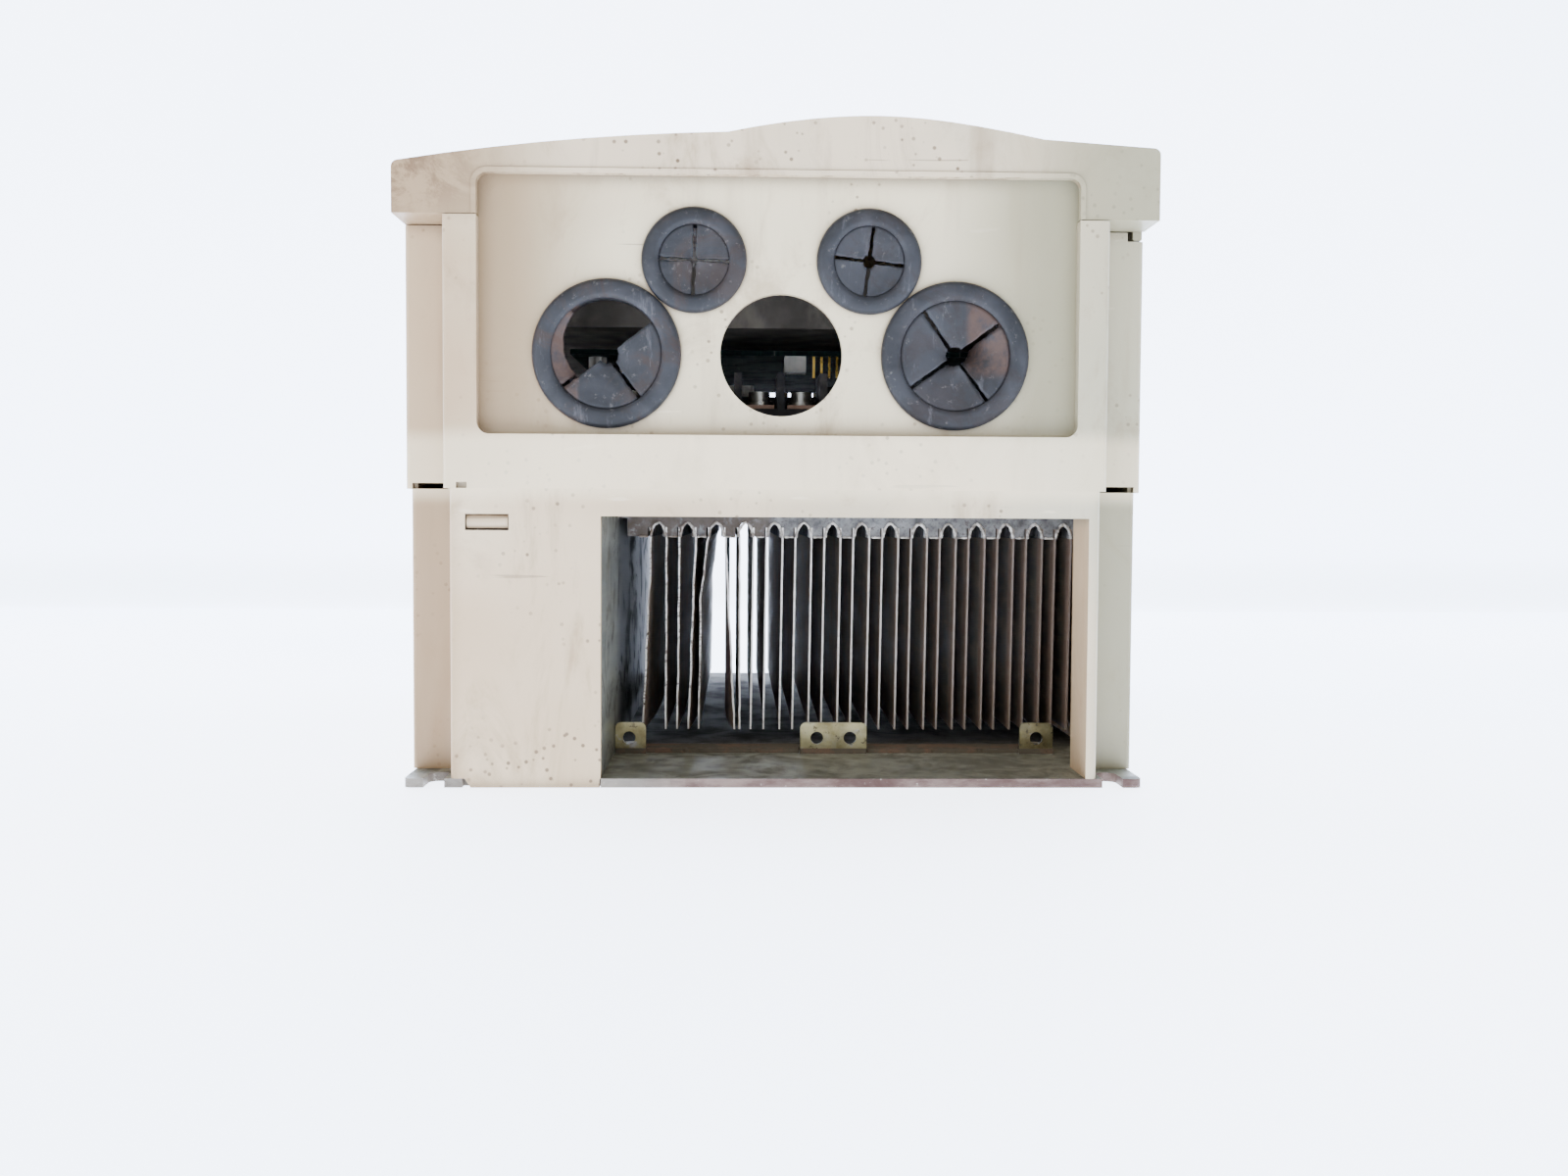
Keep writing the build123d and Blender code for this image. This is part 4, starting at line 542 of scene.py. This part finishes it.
materials = {
    "mounting_plate": rusty_steel(),
    "duct_side_wall": sheet_wall(),
    "lower_case": case_mat,
    "upper_case": upper_mat,
    "front_cover": cover_mat,
    "cover_catch": cover_mat,
    "control_tray": plain("tray_plastic", srgb(96, 90, 82), 0.75, dust=0.4, specular=0.15),
    "cable_plate": plate_mat,
    "heatsink_base": base_metal(),
    "power_board": board_mat("board_power", 1.0),
    "drive_board": board_mat("board_drive", 5.0),
    "control_board": board_mat("board_control", 9.0),
    "panel_board": board_mat("board_panel", 14.0),
    "bus_capacitors": plain("capacitor_sleeve", srgb(40, 44, 66), 0.28, dust=0.35),
    "inrush_relay": plain("relay_white", srgb(205, 203, 194), 0.4),
    "drive_connector": plain("connector_white", srgb(214, 210, 196), 0.4),
    "pin_header": plain("pin_gold", srgb(212, 176, 92), 0.28, 1.0, 0.1),
    "display_window": plain("window_smoke", srgb(22, 16, 18), 0.12, 0.0, 0.12),
    "status_lights": plain("light_pipe", srgb(196, 70, 50), 0.25, 0.0, 0.1),
    "charge_lamp": plain("lamp_red", srgb(206, 60, 44), 0.18, 0.0, 0.1),
    "bus_bars": plain("bar_copper", srgb(196, 132, 96), 0.36, 1.0, 0.2),
    "main_terminal_plates": plain("plate_copper", srgb(150, 122, 106), 0.6, 0.6, 0.4),
    "transformer": plain("transformer_dark", srgb(58, 50, 40), 0.5, dust=0.4),
    "control_terminal_block": plain("terminal_cream", srgb(196, 192, 180), 0.45),
    "setting_dial": plain("dial_grey", srgb(188, 186, 180), 0.42, dust=0.3),
    "key_stop": plain("key_red", srgb(172, 48, 38), 0.42, dust=0.3),
}
zinc = yellow_zinc()
for node in ("fan_tab_left", "fan_tab_middle", "fan_tab_right", "earth_screws"):
    materials[node] = zinc
bright = plain("screw_steel", srgb(196, 194, 184), 0.34, 0.95, 0.25)
for node in ("tab_rivets", "duct_rivet", "case_screws", "cover_screws", "module_screws",
             "board_standoffs", "board_screws", "main_terminal_screws",
             "control_terminal_screws", "drive_board_spacers", "dial_encoder"):
    materials[node] = bright
dark = plain("dark_plastic", srgb(40, 40, 43), 0.6, dust=0.2, specular=0.2)
for node in ("panel_housing", "panel_plug", "panel_socket", "main_terminal_block",
             "current_sensors", "display_module", "key_switches", "diode_module",
             "transistor_module"):
    materials[node] = dark
key_grey = plain("key_grey", srgb(96, 98, 102), 0.45, dust=0.3)
for node in ("key_mode", "key_set", "key_source", "key_reverse", "key_forward"):
    materials[node] = key_grey

for node, mat in materials.items():
    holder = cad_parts[node]
    for material_slot in holder.material_slots:
        material_slot.material = mat


SHARP_ANGLE = math.radians(40.0)


def soften(node, width):
    """Rounds the sharp edges of a moulded or stamped piece."""
    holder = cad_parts[node]
    rounder = holder.modifiers.new("soft_edges", "BEVEL")
    rounder.width = width
    rounder.segments = 2
    rounder.limit_method = "ANGLE"
    rounder.angle_limit = SHARP_ANGLE
    rounder.harden_normals = False
    rounder.use_clamp_overlap = True


# ------------------------------------------------------------------ mesh helpers
def piece(name, verts, faces, mat, body, smooth=True):
    """New mesh object in the row frame, riding on a body."""
    mesh = bpy.data.meshes.new(name)
    mesh.from_pydata(verts, [], faces)
    mesh.materials.append(mat)
    work = bmesh.new()
    work.from_mesh(mesh)
    bmesh.ops.remove_doubles(work, verts=work.verts, dist=1e-7)
    bmesh.ops.recalc_face_normals(work, faces=work.faces)
    for face in work.faces:
        face.smooth = smooth
    work.to_mesh(mesh)
    work.free()
    obj = bpy.data.objects.new(name, mesh)
    bpy.context.scene.collection.objects.link(obj)
    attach(obj, body)
    return obj


def grid_faces(rows, columns, start, flip=False):
    """Quads of a grid of points numbered row by row."""
    quads = []
    for i in range(rows - 1):
        for j in range(columns - 1):
            a = start + i * columns + j
            quad = (a, a + 1, a + columns + 1, a + columns)
            quads.append(quad[::-1] if flip else quad)
    return quads


# ------------------------------------------------------------------ heat sink fins
fin_low, fin_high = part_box("heatsink_fins")
base_low, base_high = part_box("heatsink_base")
FIN_HALF = 0.27 * MM
FIN_PITCH = 9.57 * MM
FIN_SPREAD = 2.66 * MM
FIN_PAIRS = 15
FIN_ROWS = 26
FIN_ROOT = 4.0 * MM
FIN_WOBBLE = 0.10
last_arch = fin_high[0] - FIN_HALF - FIN_SPREAD

# distances behind the front edge where a fin's grid has a column, in millimetres
FIN_REACH = [0.0, 0.6, 2.0, 5.0, 9.0, 14.0, 22.0, 34.0, 60.0, 120.0, 210.0]
# the first fins are bent near the front, as far back as this, and one along its whole length
DAMAGED_FINS = 7
BEND_REACH = 60.0
FULL_LENGTH_BEND = 4
# some fins lean to the left at their far ends
FAR_DRIFT = 0.9 * MM
DRIFTING_FINS = range(6, 11)

# sideways set of the damaged fins, as (height above the floor, sideways) in millimetres
BENT = {
    0: ((72, 0.2), (60, 0.0), (45, -0.7), (30, -1.3), (18, -1.9), (7, -2.5)),
    1: ((72, 0.0), (40, 0.0), (7, -0.2)),
    2: ((72, 0.0), (40, -0.2), (7, -0.6)),
    3: ((72, 0.2), (50, -0.7), (30, -1.4), (7, -2.2)),
    4: ((72, 0.2), (68.5, -0.6), (60, -1.4), (52, -2.4), (49, -2.7), (42, -2.5), (25, -2.8),
        (7, -3.1)),
    5: ((72, 0.3), (50, 1.3), (30, 2.4), (7, 3.4)),
    6: ((72, 0.8), (40, 0.8), (7, 0.9)),
}
BEND_TOP = 72.0
BEND_FOOT = 7.0
ROOT_HEIGHT = 2.5
# how far the foot of every other fin leans to the left
EVEN_LEAN = -0.8 * MM


def sideways(index, z):
    """Sideways set of a fin at a height, in metres."""
    points = BENT.get(index)
    z = z / MM
    if points is None:
        return EVEN_LEAN * (BEND_TOP - z) / (BEND_TOP - BEND_FOOT)
    if z >= points[0][0]:
        return points[0][1] * MM * max(0.0, (BEND_TOP + ROOT_HEIGHT - z) / ROOT_HEIGHT)
    for (z0, x0), (z1, x1) in zip(points, points[1:]):
        if z >= z1:
            t = (z0 - z) / (z0 - z1)
            t = t * t * (3 - 2 * t)
            return (x0 + (x1 - x0) * t) * MM
    return points[-1][1] * MM


def raggedness(index):
    """How deep the front edge of a fin is torn, in millimetres."""
    if index in (0, 4):
        return 1.6
    if index < DAMAGED_FINS:
        return 0.7
    return 0.22


def fin_skin(verts, faces, index, middle, face_side, wobble, jag):
    """One face of a fin, as a grid of points from its foot up and from its front back."""
    start = len(verts)
    length = fin_high[1] - fin_low[1]
    for r in range(FIN_ROWS):
        z = fin_low[2] + (fin_high[2] - fin_low[2]) * r / (FIN_ROWS - 1)
        shift = sideways(index, z) + wobble[r] * (index < DAMAGED_FINS)
        root = min(1.0, max(0.0, (fin_high[2] - z) / FIN_ROOT))
        for c, y in enumerate(FIN_REACH):
            fade = max(0.0, 1.0 - y / BEND_REACH) ** 2
            if index == FULL_LENGTH_BEND:
                fade = 1.0
            far = FAR_DRIFT * y / FIN_REACH[-1] if index in DRIFTING_FINS else 0.0
            notch = jag[r] * raggedness(index) * MM * root if c == 0 else 0.0
            near = fin_low[1] + min(y * MM, length) + notch
            verts.append((middle + face_side * FIN_HALF + shift * fade - far, near, z))
    faces += grid_faces(FIN_ROWS, len(FIN_REACH), start, face_side > 0)


def fin_rim(faces, start):
    """Closes the four edges between the two faces of a fin."""
    columns = len(FIN_REACH)
    other = start + FIN_ROWS * columns
    for r in range(FIN_ROWS - 1):
        for edge in (0, columns - 1):
            k = r * columns + edge
            faces.append((start + k, start + k + columns, other + k + columns, other + k))
    for c in range(columns - 1):
        for edge in (0, (FIN_ROWS - 1) * columns):
            k = edge + c
            faces.append((start + k, start + k + 1, other + k + 1, other + k))


def make_fins():
    """All fins as thin sheets in pairs, the first few bent at their near ends."""
    verts, faces = [], []
    random.seed(21)
    for i in range(FIN_PAIRS):
        arch = last_arch - (FIN_PAIRS - 1 - i) * FIN_PITCH
        for k, side in enumerate((-1, 1)):
            index = 2 * i + k
            middle = arch + side * FIN_SPREAD
            wobble = [random.uniform(-FIN_WOBBLE, FIN_WOBBLE) * MM for _ in range(FIN_ROWS)]
            jag = [random.uniform(0.0, 1.0) for _ in range(FIN_ROWS)]
            start = len(verts)
            for face_side in (-1, 1):
                fin_skin(verts, faces, index, middle, face_side, wobble, jag)
            fin_rim(faces, start)
    return piece("fins", verts, faces, fin_metal(), "case", smooth=False)


fins = make_fins()
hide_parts("heatsink_fins")


def ribbon(verts, faces, path, half, front, depth, jitter):
    """Strip of uneven width along a path in the XZ plane."""
    start = len(verts)
    last = len(path) - 1
    for k, (x, z) in enumerate(path):
        x0, z0 = path[max(0, k - 1)]
        x1, z1 = path[min(last, k + 1)]
        run = math.hypot(x1 - x0, z1 - z0)
        nx, nz = (z1 - z0) / run, -(x1 - x0) / run
        wide = half + random.uniform(-jitter, jitter)
        slide = random.uniform(-jitter, jitter) * 0.6
        near = front - random.uniform(0.0, 0.2) * MM
        for a, y in ((wide, near), (-wide, near), (-wide, near + depth), (wide, near + depth)):
            verts.append((x + nx * (a + slide), y, z + nz * (a + slide)))
    for k in range(last):
        for e in range(4):
            a = start + 4 * k + e
            b = start + 4 * k + (e + 1) % 4
            faces.append((a, b, b + 4, a + 4))
    end = start + 4 * last
    faces.append((start, start + 1, start + 2, start + 3))
    faces.append((end + 3, end + 2, end + 1, end))


# half of a lip's pointed arch, as (sideways, up) in millimetres from the middle of its foot
ARCH = ((2.45, -0.1), (2.35, 0.8), (2.2, 1.6), (2.0, 2.4), (1.7, 3.1), (1.25, 3.8),
        (0.65, 4.4), (0.0, 4.7))
LIP_HALF = 0.42 * MM
LIP_DEPTH = 2.2 * MM
BURR_HALF = 0.26 * MM
BURR_DEPTH = 1.2 * MM
BURR_CLEAR = 3.3 * MM
BURR_STEPS = 8


def make_lips():
    """Caulked lips round the groove between the fins of a pair, and burrs under the teeth."""
    verts, faces = [], []
    random.seed(33)
    foot = base_low[2] - 0.1 * MM
    front = base_low[1] - 0.3 * MM
    for i in range(-1, FIN_PAIRS):
        arch = last_arch - (FIN_PAIRS - 1 - i) * FIN_PITCH
        if i >= 0:
            half_arch = [(arch - x * MM, foot + z * MM) for x, z in ARCH]
            other = [(arch + x * MM, foot + z * MM) for x, z in ARCH[::-1]]
            path = half_arch + other[1:]
            ribbon(verts, faces, path, LIP_HALF, front, LIP_DEPTH, 0.16 * MM)
        left = max(arch + BURR_CLEAR, base_low[0] + 0.3 * MM)
        right = min(arch + FIN_PITCH - BURR_CLEAR, base_high[0] - 0.3 * MM)
        if right - left > 1.0 * MM:
            edge = [(left + (right - left) * k / BURR_STEPS, foot) for k in range(BURR_STEPS + 1)]
            ribbon(verts, faces, edge, BURR_HALF, front, BURR_DEPTH, 0.10 * MM)
    return piece("fin_lips", verts, faces, lip_metal(), "case")


make_lips()

# ------------------------------------------------------------------ rubber bushings
RUBBER = rubber_mat()


RING_STEPS = 72


def ring(centre, profile):
    """Points and faces of a ring turned about the Y axis; profile is (radius, y) pairs."""
    verts, faces = [], []
    count = len(profile)
    for i in range(RING_STEPS):
        angle = 2 * math.pi * i / RING_STEPS
        for radius, y in profile:
            verts.append((centre[0] + radius * math.cos(angle), y,
                          centre[1] + radius * math.sin(angle)))
    for i in range(RING_STEPS):
        for j in range(count):
            a = i * count + j
            b = i * count + (j + 1) % count
            c = ((i + 1) % RING_STEPS) * count + (j + 1) % count
            d = ((i + 1) % RING_STEPS) * count + j
            faces.append((a, b, c, d))
    return verts, faces


FLAP_RINGS = 11
FLAP_SPOKES = 19
SLIT_HALF = 0.52 * MM
SLIT_FRAY = 0.16 * MM
TIP_FRAY = 0.35 * MM


def flap(verts, faces, centre, front, thick, radius, pip, start, end, push, twist, cut, taper):
    """One quarter of a slit membrane, pushed in by an angle at its tip.

    twist leans its two sides unequally; cut and taper shorten it to a torn stump.
    """
    rings, spokes = FLAP_RINGS, FLAP_SPOKES
    base = len(verts)
    fray = [random.uniform(-SLIT_FRAY, SLIT_FRAY) for _ in range(rings)]
    torn = [random.uniform(0.0, TIP_FRAY) for _ in range(spokes)]
    for side in (0, 1):
        for i in range(rings):
            t = i / (rings - 1)
            for j in range(spokes):
                u = j / (spokes - 1)
                length = cut * (1.0 - taper * (1.0 - u))
                r = radius + (pip - radius) * t * length + torn[j] * t
                gap = SLIT_HALF + fray[i]
                inset = math.degrees(gap / max(r, 0.5 * MM))
                angle = math.radians(start + inset + (end - start - 2 * inset) * u)
                depth = radius - r
                lean = math.radians(push + twist * (u - 0.5)) * (depth / (radius - pip)) ** 0.5
                reach = radius - depth * math.cos(lean)
                y = front + side * thick + depth * math.sin(lean)
                verts.append((centre[0] + reach * math.cos(angle), y,
                              centre[1] + reach * math.sin(angle)))
    size = rings * spokes
    faces += grid_faces(rings, spokes, base)
    faces += grid_faces(rings, spokes, base + size, True)
    for i in range(rings - 1):
        for j in (0, spokes - 1):
            a = base + i * spokes + j
            faces.append((a, a + spokes, a + spokes + size, a + size))
    for j in range(spokes - 1):
        for i in (0, rings - 1):
            a = base + i * spokes + j
            faces.append((a, a + 1, a + 1 + size, a + size))


# sizes of the bushings: radii of the membranes, and how far the flanges pass their holes
FLANGE_SOFT = 0.9 * MM
FLAP_SKIN = 1.1 * MM
FLAP_THICK = 1.2 * MM
SMALL_MEMBRANE = 10.1 * MM
LARGE_MEMBRANE = 15.8 * MM
SMALL_LIP = 3.0 * MM
LARGE_LIP = 3.75 * MM


def make_bushing(node, membrane, lip, pip, turn, flaps):
    """Bushing with rounded flanges.

    membrane and pip are the radii where the flaps start and end, and lip is how far the flange
    stands past its hole. flaps lists (quarter, push, twist, cut, taper).
    """
    random.seed(len(node) + int(turn))
    low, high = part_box(node)
    centre = ((low[0] + high[0]) / 2, (low[2] + high[2]) / 2)
    outer = (high[0] - low[0]) / 2
    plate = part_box("cable_plate")
    front, back = plate[0][1], plate[1][1]
    hole = outer - lip
    skin = low[1] + FLAP_SKIN
    profile = [
        (membrane, skin - 0.4 * MM), (membrane + 0.3 * MM, low[1] + 0.5 * MM),
        (membrane + FLANGE_SOFT, low[1] + 0.1 * MM), (membrane + 1.6 * FLANGE_SOFT, low[1]),
        (outer - 1.4 * FLANGE_SOFT, low[1] + 0.15 * MM),
        (outer - 0.5 * FLANGE_SOFT, low[1] + 0.6 * MM),
        (outer, low[1] + 1.4 * MM), (outer, front), (hole, front), (hole, back),
        (hole + 2.0 * MM, back), (hole + 1.6 * MM, high[1]), (membrane, high[1]),
    ]
    verts, faces = ring(centre, profile)
    for quarter, push, twist, cut, taper in flaps:
        begin = turn + 90.0 * quarter
        flap(verts, faces, centre, skin, FLAP_THICK, membrane + 0.2 * MM, pip, begin, begin + 90.0,
             push, twist, cut, taper)
    obj = piece(node + "_rubber", verts, faces, RUBBER, "case")
    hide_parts(node)


# Flaps as (quarter, push inwards in degrees, twist in degrees, cut, taper).
SMALL_FLAPS = ((0, 3.0, 4, 1, 0), (1, 5.0, -4, 1, 0), (2, 2.0, 3, 1, 0), (3, 4.0, -5, 1, 0))
TORN_FLAPS = ((1, 30.0, 10.0, 0.46, 0.75), (2, 5.0, 6.0, 1.0, 0.0), (3, 4.0, -6.0, 0.95, 0.0))
BENT_FLAPS = ((0, 5.0, 8.0, 1.0, 0.0), (1, 3.0, -5.0, 1.0, 0.0), (2, 7.0, -12.0, 1.0, 0.0),
              (3, 24.0, 30.0, 1.0, 0.0))
make_bushing("grommet_small_left", SMALL_MEMBRANE, SMALL_LIP, 0.9 * MM, -2.0, SMALL_FLAPS)
make_bushing("grommet_small_right", SMALL_MEMBRANE, SMALL_LIP, 1.7 * MM, -7.0, SMALL_FLAPS)
make_bushing("grommet_large_left", LARGE_MEMBRANE, LARGE_LIP, 2.5 * MM, 37.0, TORN_FLAPS)
make_bushing("grommet_large_right", LARGE_MEMBRANE, LARGE_LIP, 2.5 * MM, 36.0, BENT_FLAPS)

for node in ("lower_case", "upper_case", "front_cover", "cable_plate"):
    soften(node, 0.35 * MM)
soften("mounting_plate", 0.2 * MM)

# ------------------------------------------------------------------ floor and light
PAPER_GLOW = 4.8
FLOOR_CLEAR = 0.0002


def studio():
    """Pale floor that curves up into a softly glowing backdrop."""
    verts, faces = [], []
    half_width, near, height = 4.0, -3.0, 4.0
    bend, turn_in, steps = 0.05, 0.68, 12
    profile = [(near, 0.0), (turn_in, 0.0)]
    for i in range(1, steps + 1):
        angle = math.pi / 2 * i / steps
        profile.append((turn_in + bend * math.sin(angle), bend - bend * math.cos(angle)))
    profile.append((turn_in + bend, height))
    for y, z in profile:
        verts += [(-half_width, y, z), (half_width, y, z)]
    for i in range(len(profile) - 1):
        faces.append((2 * i, 2 * i + 1, 2 * i + 3, 2 * i + 2))
    mesh = bpy.data.meshes.new("backdrop")
    mesh.from_pydata(verts, [], faces)
    for polygon in mesh.polygons:
        polygon.use_smooth = True
    s = Shader("backdrop_paper", roughness=0.55, specular=0.3)
    paper = s.mix(s.ramp(s.noise(2.0, 2.0), 0.3, 0.7), srgb(226, 236, 253),
                  srgb(234, 241, 255))
    s.color(paper)
    s.feed(s.bsdf.inputs["Emission Color"], paper)
    s.bsdf.inputs["Emission Strength"].default_value = PAPER_GLOW
    mesh.materials.append(s.mat)
    obj = bpy.data.objects.new("backdrop", mesh)
    obj.location = (0.0, 0.0, -FLOOR_CLEAR)
    bpy.context.scene.collection.objects.link(obj)


def lamp(name, at, toward, size, power, tint):
    """Square soft lamp aimed at a point."""
    data = bpy.data.lights.new(name, "AREA")
    data.shape = "SQUARE"
    data.size = size
    data.energy = power
    data.color = tint
    obj = bpy.data.objects.new(name, data)
    obj.location = at
    aim = Vector(toward) - Vector(at)
    obj.rotation_euler = aim.to_track_quat("-Z", "Y").to_euler()
    bpy.context.scene.collection.objects.link(obj)


studio()
lamp("key", (-0.4, -1.7, 1.3), (0.0, -0.1, 0.1), 1.2, 15.0, (1.0, 0.985, 0.96))
lamp("left", (-0.9, -0.95, 0.22), (0.04, -0.1, 0.05), 0.8, 8.0, (1.0, 0.98, 0.95))
lamp("right", (1.1, -1.5, 0.6), (0.0, 0.0, 0.1), 1.1, 6.0, (0.97, 0.98, 1.0))
lamp("top", (0.0, 0.5, 2.0), (0.0, 0.2, 0.0), 1.6, 16.0, (0.97, 0.98, 1.0))

world = bpy.data.worlds.new("soft_room")
bpy.context.scene.world = world
world.use_nodes = True
world.node_tree.nodes["Background"].inputs[0].default_value = (0.90, 0.94, 1.0, 1.0)
world.node_tree.nodes["Background"].inputs[1].default_value = 0.22
